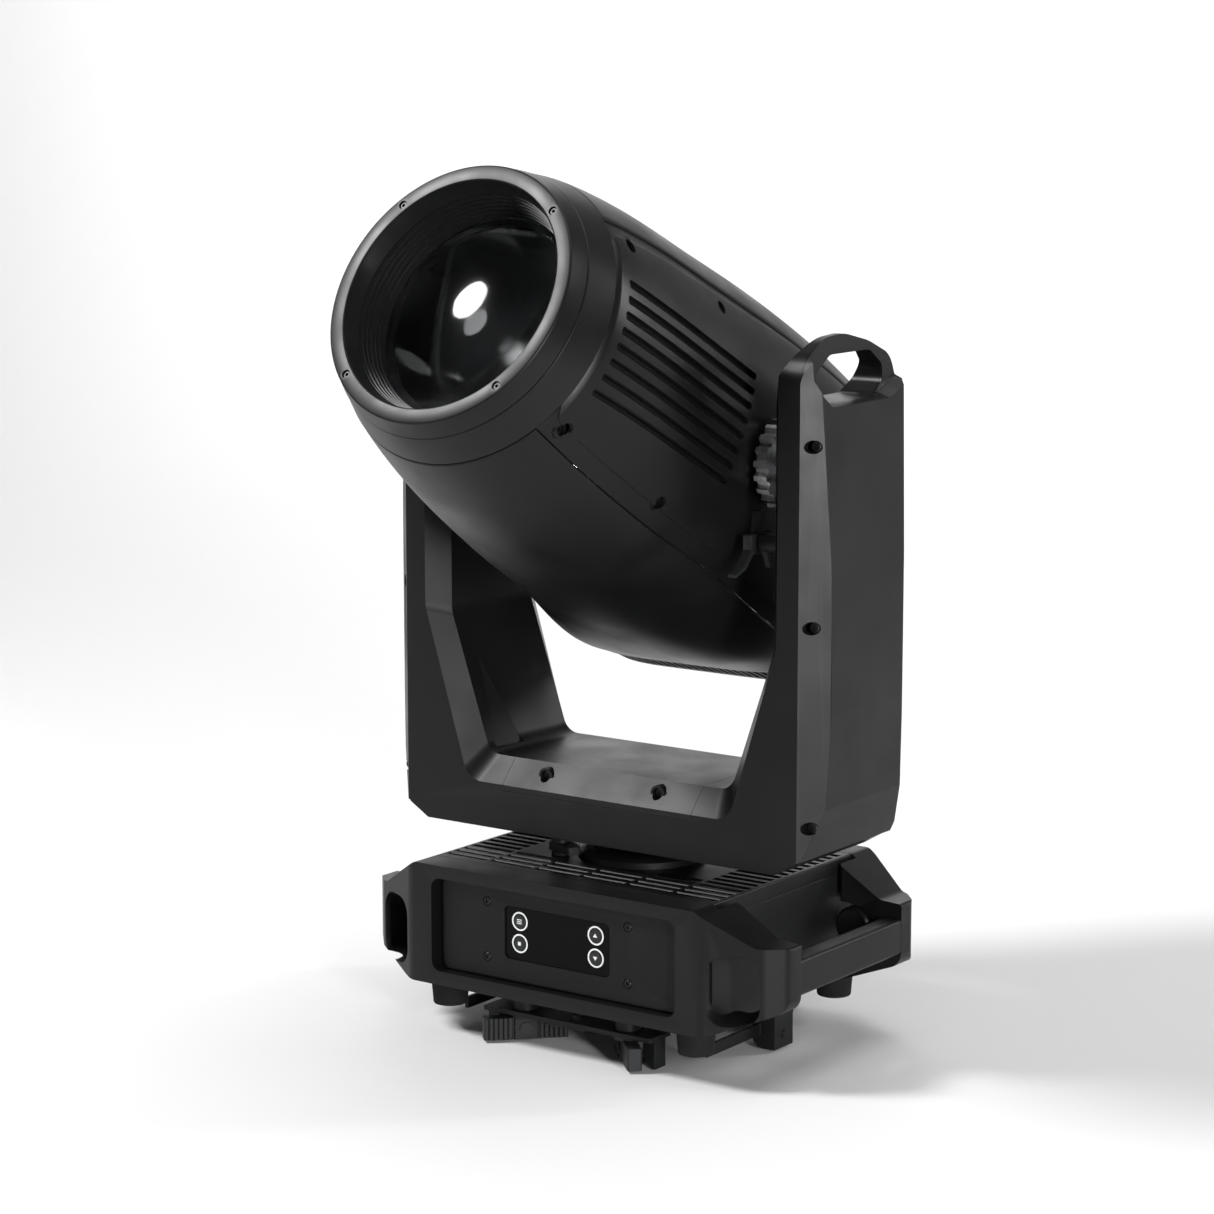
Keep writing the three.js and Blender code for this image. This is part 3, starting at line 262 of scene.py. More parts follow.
TO_SPACE = {"x": lambda u, v, t: (t, u, v), "y": lambda u, v, t: (u, t, v), "z": lambda u, v, t: (u, v, t)}


def skinned(name, rings, matrix=None):
    """Closed solid through rings that all have the same number of points, with flat ends."""
    count = len(rings[0])
    last = count * (len(rings) - 1)
    faces = [tuple(range(count)), tuple(range(last + count - 1, last - 1, -1))]
    for k in range(len(rings) - 1):
        for i in range(count):
            a, b = k * count + i, k * count + (i + 1) % count
            faces.append((a, b, b + count, a + count))
    return mesh_object(name, [p for ring in rings for p in ring], faces, matrix)


def prism(name, outline, low, high, axis="z", matrix=None):
    """Outline across the named axis, swept along it."""
    to_space = TO_SPACE[axis]
    return skinned(name, [[to_space(u, v, t) for u, v in outline] for t in (low, high)], matrix)


def block(name, low, high, matrix=None):
    return prism(name, rectangle(low[0], low[1], high[0], high[1]), low[2], high[2], "z", matrix)


def lathe(name, profile, segments=96, matrix=None):
    """Closed solid turned about Z: profile of (radius, height), open at the axis or closed on itself."""
    turns = [2 * math.pi * k / segments for k in range(segments)]
    around = [(math.cos(t), math.sin(t)) for t in turns]
    verts = []
    rings = []
    for r, z in profile:
        if r < 1e-6:
            rings.append([len(verts)])
            verts.append((0, 0, z))
        else:
            rings.append(list(range(len(verts), len(verts) + segments)))
            verts += [(r * c, r * s, z) for c, s in around]
    faces = []
    pairs = list(zip(rings, rings[1:]))
    if profile[0][0] > 1e-6 and profile[-1][0] > 1e-6:
        pairs.append((rings[-1], rings[0]))
    for a, b in pairs:
        for k in range(segments):
            m = (k + 1) % segments
            if len(a) == 1 and len(b) == 1:
                continue
            if len(a) == 1:
                faces.append((a[0], b[m], b[k]))
            elif len(b) == 1:
                faces.append((a[k], a[m], b[0]))
            else:
                faces.append((a[k], a[m], b[m], b[k]))
    return mesh_object(name, verts, faces, matrix)


TURN_TO = {
    "x": Matrix.Rotation(math.pi / 2, 4, "Y"),
    "y": Matrix.Rotation(-math.pi / 2, 4, "X"),
    "z": Matrix.Identity(4),
}


def rod(name, r, low, high, axis="z", centre=(0, 0, 0), segments=48, matrix=None):
    """Cylinder along the named axis."""
    place = Matrix.Translation(centre) @ TURN_TO[axis]
    if matrix:
        place = matrix @ place
    return lathe(name, [(0, low), (r, low), (r, high), (0, high)], segments, place)


def applied(obj):
    """Bakes an object's modifiers into its mesh."""
    graph = bpy.context.evaluated_depsgraph_get()
    mesh = bpy.data.meshes.new_from_object(obj.evaluated_get(graph))
    old = obj.data
    obj.modifiers.clear()
    obj.data = mesh
    bpy.data.meshes.remove(old)
    return obj


def boolean(obj, tools, operation="DIFFERENCE"):
    """Cuts, joins or intersects one object with several, and removes the tools."""
    for tool in tools:
        mod = obj.modifiers.new("cut", "BOOLEAN")
        mod.operation = operation
        mod.solver = "MANIFOLD"
        mod.object = tool
        applied(obj)
        bpy.data.objects.remove(tool)
    return obj


def joined(objects, name):
    """Several meshes as one object, left as separate shells."""
    bm = bmesh.new()
    for obj in objects:
        bm.from_mesh(obj.data)
        bpy.data.objects.remove(obj)
    mesh = bpy.data.meshes.new(name)
    bm.to_mesh(mesh)
    bm.free()
    out = bpy.data.objects.new(name, mesh)
    bpy.context.collection.objects.link(out)
    return out


def crease_plates(mesh, smallest):
    """Keeps a crease where two large flat faces meet, so that neither shades into the other."""
    bm = bmesh.new()
    bm.from_mesh(mesh)
    for edge in bm.edges:
        areas = [face.calc_area() for face in edge.link_faces]
        if len(areas) == 2 and min(areas) > smallest:
            edge.smooth = False
    bm.to_mesh(mesh)
    bm.free()


def finish_edges(obj, width, segments=3, limit=32, smooth=34, plate=None):
    """Merges flat facets, rounds the sharp edges and sets smooth shading.

    Limit and smooth are in degrees. With plate, faces above that area in mm2 stay flat.
    """
    bm = bmesh.new()
    bm.from_mesh(obj.data)
    bmesh.ops.remove_doubles(bm, verts=bm.verts, dist=2e-6)
    bmesh.ops.dissolve_limit(bm, angle_limit=math.radians(0.8), verts=bm.verts, edges=bm.edges)
    bm.to_mesh(obj.data)
    bm.free()
    if width:
        mod = obj.modifiers.new("edges", "BEVEL")
        mod.width = width * MM
        mod.segments = segments
        mod.limit_method = "ANGLE"
        mod.angle_limit = math.radians(limit)
        mod.miter_outer = "MITER_ARC"
        applied(obj)
    obj.data.shade_smooth()
    obj.data.set_sharp_from_angle(angle=math.radians(smooth))
    if plate:
        crease_plates(obj.data, plate * MM * MM)
    weighted = obj.modifiers.new("normals", "WEIGHTED_NORMAL")
    weighted.keep_sharp = True
    applied(obj)
    return obj


def dress(obj, slot):
    """Gives an object one material."""
    obj.data.materials.clear()
    obj.data.materials.append(MATERIALS[slot])
    return obj


def stand_for(obj, *nodes, slot=None):
    """The object replaces CAD nodes, and rides on their body with their finish."""
    slot = slot or SLOT_OF[nodes[0]]
    dress(obj, slot)
    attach(obj, BODY_OF[nodes[0]])
    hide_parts(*nodes)
    return obj


def extra(obj, body, slot):
    """A small piece that the frame doesn't hold, such as a screw."""
    dress(obj, slot)
    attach(obj, body)
    return obj


def copy_node(node):
    obj = bpy.data.objects.new(node + "_fine", NODES[node].data.copy())
    bpy.context.collection.objects.link(obj)
    return obj


def refine(node, width, segments):
    """A CAD node with its flat facets merged and its edges rounded."""
    return stand_for(finish_edges(copy_node(node), width, segments), node)


def aim(direction):
    """Rotation that turns +Z to the given direction."""
    return Vector(direction).normalized().to_track_quat("Z", "Y").to_matrix().to_4x4()


def pit(centre, direction, r, depth, reach=12):
    """Cutter for a round recess, whose mouth centre and outward direction are given."""
    matrix = Matrix.Translation(centre) @ aim(direction)
    return lathe("pit", [(0, -depth), (r, -depth), (r, reach), (0, reach)], 40, matrix)


def screw(name, body, centre, direction, r, thick=2.2):
    """Socket-head screw: a chamfered disc with a hexagonal recess; centre is under its head."""
    matrix = Matrix.Translation(centre) @ aim(direction)
    head = lathe(name, [(0, 0), (r, 0), (r, thick - 0.4), (r - 0.4, thick), (0, thick)], 40, matrix)
    hexagon = [(r * 0.5 * math.cos(k * math.pi / 3), r * 0.5 * math.sin(k * math.pi / 3)) for k in range(6)]
    boolean(head, [prism("hex", hexagon, thick * 0.35, thick + 1, "z", matrix)])
    finish_edges(head, 0)
    return extra(head, body, "screw_black")


# ---------- head ----------
SPLIT = 258
LENS_FACE = 302
BEZEL_R = 110.5
CONE_R = 125  # the head's radius at the split
BEZEL_HOLE_R = 97
BEZEL_BACK = 286
REAR_SPLIT = -152
HEAD_BACK = -197
WALL = 3
GAP = 0.3
HEAD = {
    "at": (-200, -175, -150, -100, 0, 100, 200, SPLIT, LENS_FACE),
    "width": (124, 129, 131, 132, 131, 131, 130.5, 125, BEZEL_R),
    "top": (148, 155, 158, 160, 157, 148, 137.5, 125.5, BEZEL_R),
    "bottom": (129, 131, 134.5, 146.5, 151.5, 150, 139.5, 125.5, BEZEL_R),
    "square": (2.7, 2.6, 2.5, 2.45, 2.35, 2.2, 2.05, 2, 2),
    "square_low": (6, 6, 5.2, 3.9, 2.45, 2.2, 2.05, 2, 2),
}


def station(key, a):
    """A head dimension at distance a along its axis, on a smooth curve through the stations."""
    at, values = HEAD["at"], HEAD[key]
    last = len(at) - 1
    i = next((k for k in range(1, last) if a < at[k]), last)
    start, end = at[i - 1], at[i]
    before, value_before = (end, values[i]) if i == 1 else (at[i - 2], values[i - 2])
    after, value_after = (start, values[i - 1]) if i == last else (at[i + 1], values[i + 1])
    half = (end - start) / 2
    pull, push = half / (start - before), half / (after - end)
    p = (a - start) / (end - start)
    return (value_before * pull * (-p ** 3 + 2 * p ** 2 - p)
            + values[i - 1] * ((1 + pull) * p ** 3 - (1.5 + 2 * pull) * p ** 2 + (pull - 0.5) * p + 1)
            + values[i] * (-(1 + push) * p ** 3 + (1.5 + push) * p ** 2 + 0.5 * p)
            + value_after * push * (p ** 3 - p ** 2))


def skin(a, angle, inset=0.0):
    """Point of the head's skin at distance a along the axis and an angle round it."""
    c, s = math.cos(angle), math.sin(angle)
    power = 2 / station("square" if s > 0 else "square_low", a)
    w = station("width", a) - inset
    h = station("top" if s > 0 else "bottom", a) - inset
    return (w * math.copysign(abs(c) ** power, c), h * math.copysign(abs(s) ** power, s), a)


def skin_x(a, u, inset=0.0):
    """Half width of the skin at distance a along the axis and height u above it."""
    square = station("square" if u > 0 else "square_low", a)
    w = station("width", a) - inset
    h = station("top" if u > 0 else "bottom", a) - inset
    return w * (1 - abs(u / h) ** square) ** (1 / square)


def panel_top(a):
    """Angle in degrees of the right side panel's upper seam at distance a along the axis."""
    return 44.3 + a * 0.005


def panel_low(a):
    """Angle in degrees of the right side panel's lower seam at distance a along the axis."""
    return -39 - a * 0.024


SEAM = 0.1  # degrees on each side of a seam
BACKED_WALL = 9  # wall behind the side slots
SLOTTED_HALF = 66  # half height of the thicker wall
DEGREE = 2.3  # arc length of one degree on the head's skin, about
FRONT_BEVEL = [(0.0, 1.9), (0.5, 1.5), (4.4, 0.2), (5.2, 0.0)]
PLAIN_EDGE = [(0.0, 0.9), (0.25, 0.35), (0.9, 0.0)]
CHANNEL_DEPTH = 1.7


def channel_edge(width):
    """Depths across a seam's border: a shallow channel of the given width, then a rounded step up."""
    if not width:
        return PLAIN_EDGE
    return [(0.0, CHANNEL_DEPTH + 0.3), (0.5, CHANNEL_DEPTH), (width, CHANNEL_DEPTH), (width + 0.25, 0.6),
            (width + 0.9, 0.12), (width + 1.8, 0.0)]


def inner_depth(a, angle, backed):
    """Wall thickness of a cover: more behind the side slots."""
    span = SIDE_SLOTS["back"] - 8 < a < SIDE_SLOTS["front"] + 6
    return BACKED_WALL if backed and span and abs(skin(a, angle)[1]) < SLOTTED_HALF else WALL


def panel_faces(rows, columns):
    """Faces of a closed sheet: an outer and an inner grid of points, joined round their border."""
    layer = rows * columns
    faces = []
    for i in range(rows - 1):
        for j in range(columns - 1):
            k = i * columns + j
            faces.append((k, k + 1, k + columns + 1, k + columns))
            faces.append((layer + k, layer + k + columns, layer + k + columns + 1, layer + k + 1))
    for j in range(columns - 1):
        for k in (j, (rows - 1) * columns + j):
            faces.append((k, k + 1, layer + k + 1, layer + k))
    for i in range(rows - 1):
        for k in (i * columns, (i + 1) * columns - 1):
            faces.append((k, k + columns, layer + k + columns, layer + k))
    return faces


def skin_panel(name, start, end, low_channel=None, high_channel=None, front=PLAIN_EDGE, backed=False):
    """Curved cover between two seams, one wall thick, with its border rounded over or sunk in channels."""
    along, across = 72, 56
    lead = front[-1][0]
    near = [lead + d for d in (1, 2, 3.5, 5, 7, 9, 11.5)]
    tail = REAR_SPLIT + PLAIN_EDGE[-1][0]
    first = SPLIT - near[-1]
    places = ([(REAR_SPLIT + d, sink) for d, sink in PLAIN_EDGE]
              + [(tail + (first - tail) * i / along, 0.0) for i in range(1, along + 1)]
              + [(SPLIT - d, 0.0) for d in reversed(near[:-1])]
              + [(SPLIT - d, sink) for d, sink in reversed(front)])
    outer, inner = [], []
    for a, sink_a in places:
        low, high = start(a), end(a)
        low_edge = channel_edge(low_channel(a) if low_channel else 0)
        high_edge = channel_edge(high_channel(a) if high_channel else 0)
        bottom, top = low + low_edge[-1][0] / DEGREE, high - high_edge[-1][0] / DEGREE
        turns = ([(low + d / DEGREE, sink) for d, sink in low_edge]
                 + [(bottom + (top - bottom) * j / across, 0.0) for j in range(1, across)]
                 + [(high - d / DEGREE, sink) for d, sink in reversed(high_edge)])
        turns = [(math.radians(t), sink) for t, sink in turns]
        outer.append([skin(a, t, max(sink_a, sink)) for t, sink in turns])
        inner.append([skin(a, t, inner_depth(a, t, backed)) for t, sink in turns])
    verts = [p for row in outer + inner for p in row]
    return mesh_object(name, verts, panel_faces(len(places), len(outer[0])), HEAD_MATRIX)


CORNER = 15  # corner radius of a side panel's raised face


def corner_cut(a):
    """How far the rounded front corner of the raised face cuts in at distance a along the axis."""
    d = min(CORNER, SPLIT - a)
    return CORNER - math.sqrt(CORNER ** 2 - (CORNER - d) ** 2)


def upper_channel(a):
    return max(3.0, min(14.0, 3 + (a + 20) * 0.04)) + corner_cut(a)


def lower_channel(a):
    return 16.0 + corner_cut(a)


def smooth_only(obj, angle=34):
    """Smooth shading up to an angle between faces, in degrees."""
    obj.data.shade_smooth()
    obj.data.set_sharp_from_angle(angle=math.radians(angle))
    return obj


def head_point(x, u, a):
    """Point in the head's own frame: across, above and along its axis."""
    return HEAD_MATRIX @ Vector((x, u, a))


SIDE_SLOTS = {"count": 8, "top": 44, "pitch": 13.2, "front": 244, "back": 54, "half": 2.2, "lean": -2.4}
SIDE_SCREWS = ((235, 78), (105, 88.5), (240, -80), (110, -84))  # along the axis, above it
SIDE_SCREW = {"cup": 7.4, "pit": 5.2, "depth": 9, "head": 4.2}


def slot_cutter(index, side):
    """Long slot with rounded ends and a chamfered lower lip that follows the curve of the side."""
    spec = SIDE_SLOTS
    top = spec["top"] - index * spec["pitch"]
    slope = math.tan(math.radians(spec["lean"]))
    half = spec["half"]
    ends = [(0.0, 0.05), (0.3, 0.45), (0.8, 0.72), (1.6, 0.93), (half + 0.4, 1.0)]
    length = spec["front"] - spec["back"]
    spots = ([(spec["back"] + d, share) for d, share in ends]
             + [(spec["back"] + length * k / 24, 1.0) for k in range(1, 24)]
             + [(spec["front"] - d, share) for d, share in reversed(ends)])
    rings = []
    for a, share in spots:
        u = top + (a - spec["front"]) * slope
        face = skin_x(a, u)
        floor = face - BACKED_WALL + 2.5
        lip, out = half + 2.6, face + 8
        section = [(floor, -half), (face - 2.0, -half), (face + 0.4, -lip), (out, -lip),
                   (out, half + 0.7), (face + 0.3, half + 0.7), (face - 0.5, half), (floor, half)]
        rings.append([(side * x, u + v * share, a) for x, v in section])
    return skinned("slot", rings, HEAD_MATRIX)


def side_panel(name, side):
    """Side cover with its slots and four sunk screws; side is 1 on the right and -1 on the left."""
    def start(a):
        return (panel_low(a) if side > 0 else 180 - panel_top(a)) + SEAM

    def end(a):
        return (panel_top(a) if side > 0 else 180 - panel_low(a)) - SEAM

    channels = (lower_channel, upper_channel) if side > 0 else (upper_channel, lower_channel)
    panel = skin_panel(f"side_panel_{name}_shell", start, end, *channels, front=FRONT_BEVEL, backed=True)
    cups, pits, spots = [], [], []
    depth = SIDE_SCREW["depth"]
    for a, u in SIDE_SCREWS:
        face = skin_x(a, u) * side
        wall = sorted((face - side * (depth + 6), face - side * (depth - 4)))
        bore = sorted((face - side * depth, face + side * 20))
        cups.append(rod("cup", SIDE_SCREW["cup"], *wall, "x", (0, u, a), 40, HEAD_MATRIX))
        pits.append(rod("pit", SIDE_SCREW["pit"], *bore, "x", (0, u, a), 40, HEAD_MATRIX))
        spots.append((face - side * (depth - 0.1), u, a))
    boolean(panel, cups, "UNION")
    pivot_hole = rod("window", 24, *sorted((side * 80, side * 150)), "x", (0, 0, 0), 96, HEAD_MATRIX)
    boolean(panel, pits + [slot_cutter(i, side) for i in range(SIDE_SLOTS["count"])] + [pivot_hole])
    stand_for(smooth_only(panel), "side_panel_" + name)
    for k, spot in enumerate(spots):
        screw(f"side_screw_{name}_{k + 1}", "head", head_point(*spot), (side, 0, 0), SIDE_SCREW["head"])


def head_covers():
    top = skin_panel("top_cover_shell", lambda a: panel_top(a) + SEAM, lambda a: 180 - panel_top(a) - SEAM)
    stand_for(smooth_only(top), "top_cover")
    low = skin_panel("bottom_cover_shell", lambda a: 180 - panel_low(a) + SEAM,
                     lambda a: 360 + panel_low(a) - SEAM)
    stand_for(smooth_only(low), "bottom_cover")
    side_panel("right", 1)
    side_panel("left", -1)


def cone_radius(a):
    """Radius of the cone in front of the split, at distance a along the axis."""
    return BEZEL_R + (LENS_FACE - a) * (CONE_R - BEZEL_R) / (LENS_FACE - SPLIT)


BEZEL_SCREW_R = 103.6


def bezel():
    """Bezel ring with a fine bead round its mouth and four screws sunk in its face."""
    rim = cone_radius(BEZEL_BACK)
    ring = lathe("bezel", [
        (BEZEL_HOLE_R + 1, LENS_FACE - 0.1), (BEZEL_HOLE_R + 1.6, LENS_FACE), (BEZEL_R - 1.6, LENS_FACE),
        (BEZEL_R - 0.8, LENS_FACE - 0.25), (BEZEL_R - 0.2, LENS_FACE - 0.9), (BEZEL_R, LENS_FACE - 1.7),
        (rim - 0.1, BEZEL_BACK + 0.6), (rim - 0.7, BEZEL_BACK), (BEZEL_HOLE_R - 3, BEZEL_BACK),
        (BEZEL_HOLE_R - 0.1, LENS_FACE - 1.6), (BEZEL_HOLE_R + 0.3, LENS_FACE - 0.6),
    ], 192, HEAD_MATRIX)
    spots = [(BEZEL_SCREW_R * math.cos(t), BEZEL_SCREW_R * math.sin(t), LENS_FACE - 3.6)
             for t in (math.radians(45 + 90 * k) for k in range(4))]
    boolean(ring, [pit(head_point(*spot), AXIS, 3.6, 0) for spot in spots])
    stand_for(smooth_only(ring, 30), "bezel_ring")
    for k, (x, u, a) in enumerate(spots):
        screw(f"bezel_screw_{k + 1}", "head", head_point(x, u, a + 0.05), AXIS, 3.1, 2.2)


def barrel():
    """Short cone between the bezel ring and the split."""
    front = BEZEL_BACK - 0.8
    shell = lathe("barrel", [
        (cone_radius(front) - 0.7, front), (cone_radius(front) - 0.1, front - 0.6),
        (cone_radius(SPLIT) - 0.05, SPLIT + 1.6), (cone_radius(SPLIT) - 0.9, SPLIT + GAP),
        (cone_radius(SPLIT) - 4, SPLIT + GAP), (cone_radius(front) - 5, front),
    ], 192, HEAD_MATRIX)
    stand_for(smooth_only(shell, 24), "front_barrel")


LENS = {"r": 87, "back": 251, "rim": 258, "bulge": 20}


def lens_holder():
    """Stepped tube behind the bezel: fine baffle steps lead down to the lens seat."""
    mouth, low, face = BEZEL_HOLE_R - 3.5, LENS["rim"] + 6, BEZEL_BACK - 1
    seat = LENS["r"] + 0.5
    profile = [(BEZEL_HOLE_R - 1, 240), (80, 240), (80, 250), (seat, 250), (seat, low)]
    steps = 5
    reach = (face - low) / steps
    for k in range(steps):
        r = seat + (mouth - seat) * (k + 1) / steps
        z = low + reach * k
        profile += [(r - 0.25, z), (r, z + 0.25), (r, z + reach - 0.1)]
    profile += [(mouth, face), (BEZEL_HOLE_R - 1, face)]
    tube = lathe("holder", profile, 160, HEAD_MATRIX)
    stand_for(smooth_only(tube, 30), "lens_holder")


def front_lens():
    """Plano-convex lens with a ground chamfer at its rim."""
    r, back, rim = LENS["r"], LENS["back"], LENS["rim"]
    profile = [(0, back), (r - 0.6, back), (r, back + 0.6), (r, rim)]
    steps = 20
    for k in range(1, steps + 1):
        share = math.cos(k / steps * math.pi / 2)
        profile.append((0 if k == steps else r * share, rim + LENS["bulge"] * (1 - share ** 2)))
    stand_for(smooth_only(lathe("lens", profile, 128, HEAD_MATRIX), 50), "front_lens")


REAR = {"inset": 2, "lip": REAR_SPLIT - 2.5, "floor": -189.5}
REAR_SLOTS = {"count": 9, "pitch": 20, "half": 5}
REAR_WINDOWS = {"count": 27, "pitch": 7.8, "half": 2.7}


def row_of_blocks(spec, spans, low, high):
    """Cutters in a row across the head, each over the given spans of height."""
    blocks = []
    for i in range(spec["count"]):
        x = (i - (spec["count"] - 1) / 2) * spec["pitch"]
        left, right = x - spec["half"], x + spec["half"]
        blocks += [block("cut", (left, start, low), (right, end, high), HEAD_MATRIX) for start, end in spans]
    return blocks


def rear_grille():
    """Rear cap: a cup whose skirt has a row of narrow windows above and below, with a slotted back."""
    def ring(a, inset, count=160):
        return [skin(a, 2 * math.pi * i / count, inset) for i in range(count)]

    inset, lip = REAR["inset"], REAR["lip"]
    levels = ((lip, inset + 0.8), (lip - 0.8, inset), (-188, inset), (-191, inset + 1.6),
              (-194.5, inset + 5), (-196.4, inset + 8), (HEAD_BACK, inset + 11))
    outer = skinned("grille", [ring(a, d) for a, d in levels], HEAD_MATRIX)
    inner_levels = ((lip + 1, inset + WALL), (-187, inset + WALL), (-193, inset + 12))
    inner = skinned("inner", [ring(a, d) for a, d in inner_levels], HEAD_MATRIX)
    behind, floor = HEAD_BACK - 5, REAR["floor"]
    slots = row_of_blocks(REAR_SLOTS, ((30, 170), (-150, -30)), behind, floor)
    windows = row_of_blocks(REAR_WINDOWS, ((90, 170), (-150, -90)), -183, -160.5)
    bands = [block("band", (side * 60 - 40, -14, behind), (side * 60 + 40, 14, floor), HEAD_MATRIX)
             for side in (-1, 1)]
    boolean(outer, [inner, joined(slots + bands, "slots"), joined(windows, "windows")])
    stand_for(smooth_only(outer, 30), "rear_grille", slot="knob_plastic")


LOCK_DISC = {"teeth": 20, "r": 38, "from": 134, "to": 146, "bore": 17.3}


def lock_disc():
    """Toothed steel disc with its bore and its rim faces chamfered."""
    tip = LOCK_DISC["r"]
    root = tip - 4
    points = []
    for i in range(LOCK_DISC["teeth"]):
        for share, r in ((0, root), (0.2, tip), (0.55, tip), (0.75, root)):
            t = (i + share) / LOCK_DISC["teeth"] * 2 * math.pi
            points.append((r * math.cos(t), r * math.sin(t)))
    disc = prism("disc", points, LOCK_DISC["from"], LOCK_DISC["to"], "x", HEAD_MATRIX)
    boolean(disc, [rod("bore", LOCK_DISC["bore"], 120, 160, "x", (0, 0, 0), 72, HEAD_MATRIX)])
    stand_for(finish_edges(disc, 0.6, 2), "tilt_lock_disc")


def head_inside():
    for node in ("led_engine", "heat_sink", "cooling_fan", "effect_plate", "gobo_wheel", "zoom_carriage",
                 "head_frame"):
        refine(node, 0.4, 1)


# ---------- yoke ----------
FRONT, BACK, BOTTOM = -71, 79, 127
YOKE_SIDE, COVER_SIDE = 199, 219
ARM_INNER, ARM_TOP, BAR_TOP = 165, 562, 187
FLARE, COVER_SEAM = 19, 97
KNEE_X, KNEE_Z = 124, 307  # where the opening's slopes start and end
FINE = 9  # steps in a rounded corner
OPENING = rounded([(-ARM_INNER, 620), (-ARM_INNER, KNEE_Z), (-KNEE_X, BAR_TOP), (KNEE_X, BAR_TOP),
                   (ARM_INNER, KNEE_Z), (ARM_INNER, 620)], [0, 30, 16, 16, 30, 0], FINE)
OPENING_FACE = rounded([(-179, 620), (-179, 313), (-134, 166), (134, 166), (179, 313), (179, 620)],
                       [0, 30, 20, 20, 30, 0], FINE)

# An arm seen from the side is a rounded arch that falls away towards the rear.
ARCH = rounded([(FRONT, BOTTOM), (BACK, BOTTOM), (BACK, 455), (74, 513), (62, 540), (28, 553.5), (-10, ARM_TOP),
                (-40, ARM_TOP - 2), (-62, 546), (FRONT, 531)], [0, 0, 60, 60, 25, 80, 60, 35, 30, 25], FINE)
HOLE = rounded([(-38, 508), (38, 508), (50, 520), (50, 533), (30, 546), (-30, 546), (-50, 533),
                (-50, 520)], [10, 10, 10, 10, 12, 12, 10, 10], FINE)
SCOOP_ROUND = [14, 14, 8, 8, 0, 0, 8, 8]
SCOOP_FLOOR = rounded([(-40, 510), (40, 510), (54, 516), (70, 521), (84, 600), (-66, 600), (-60, 529),
                       (-52, 519)], SCOOP_ROUND, FINE)
SCOOP_LIP = rounded([(-46, 503), (43, 503), (60, 507.5), (78, 515), (90, 600), (-76, 600), (-70, 525),
                     (-59, 512)], SCOOP_ROUND, FINE)
REAR_TAPER = [(FRONT - 5, 100), (66, 100), (69, BOTTOM), (BACK, 168), (BACK + 5, 600), (FRONT - 5, 600)]


def mirror_x(obj, name):
    """A mirrored copy of an object on the other side of x 0."""
    twin = bpy.data.objects.new(name, obj.data.copy())
    bpy.context.collection.objects.link(twin)
    twin.data.transform(Matrix.Scale(-1, 4, (1, 0, 0)))
    twin.data.flip_normals()
    return twin


FACET = ((-33, 265, 0.2), (-44, 189, 6), (-6, 189, 0.2))  # y, z and depth of the facet's corners


def facet_cutter():
    """Cuts a thin triangular facet into the sloping inner face of an arm."""
    slope = (ARM_INNER - KNEE_X) / (KNEE_Z - BAR_TOP)
    face = [(KNEE_X + (z - BAR_TOP) * slope, y, z, depth) for y, z, depth in FACET]
    return skinned("facet", [[(x - 3, y, z) for x, y, z, _ in face],
                             [(x + depth, y, z) for x, y, z, depth in face]])


def yoke_frame():
    """U-shaped frame: two arms and a crossbar, with flared openings, hand holes and hollow arms."""
    outline = [(-178, BOTTOM), (178, BOTTOM), (197, 138.5), (YOKE_SIDE, 142), (YOKE_SIDE, 600),
               (-YOKE_SIDE, 600), (-YOKE_SIDE, 142), (-197, 138.5)]
    body = prism("yoke", outline, FRONT, BACK, "y")
    boolean(body, [prism("arch", ARCH, -260, 260, "x"),
                   prism("taper", REAR_TAPER, -260, 260, "x")], "INTERSECT")
    cutters = [prism("opening", OPENING, FRONT - 5, BACK + 5, "y")]
    for face, inward in ((FRONT, FLARE), (BACK, -FLARE)):
        rings = [[(x, face + inward, z) for x, z in OPENING], [(x, face, z) for x, z in OPENING_FACE]]
        cutters.append(skinned("flare", rings))
    deep = [(170, 491), (170, 309), (134, 182), (134, 150), (215, 150), (215, 491)]
    wide = [(186, 491), (186, 309), (150, 182), (150, 150), (215, 150), (215, 491)]
    lean = [(150, 505), (ARM_INNER, 505), (194, 561), (194, 570), (150, 570)]
    right = [prism("deep", deep, FRONT + FLARE + 2, BACK - FLARE - 2, "y"),
             prism("wide", wide, FRONT + 5, BACK - 5, "y"),
             prism("lean", lean, FRONT - 5, BACK + 5, "y"),
             facet_cutter()]
    cutters += right + [mirror_x(tool, tool.name + "_left") for tool in right]
    cutters += [block("trough", (-COVER_SEAM, -60, BOTTOM + 4), (COVER_SEAM, 68, 200)),
                block("tunnel", (-140, -40, BOTTOM + 4), (140, 48, 160)),
                block("seat", (-COVER_SEAM, FRONT - 5, 161), (COVER_SEAM, BACK + 5, 200)),
                prism("hole", HOLE, -215, 215, "x"),
                rod("bore", 27.3, -180, 180, "x", (0, 0, TILT_Z), 96)]
    boolean(body, cutters)
    housing = [(0, 118), (42, 118), (47, 122), (47, 134), (0, 134)]
    boolean(body, [lathe("housing", housing, 96)], "UNION")
    boolean(body, [rod("post", 30.5, 110, 140)])
    stand_for(finish_edges(body, 1.5, 3, limit=24), "yoke_frame")


STRIP_SCREWS = (476, 331, 168)  # heights of the screws down an arm's front strip
STRIP_SCREW_X = 207
STRIP_PIT_Y = -57.6


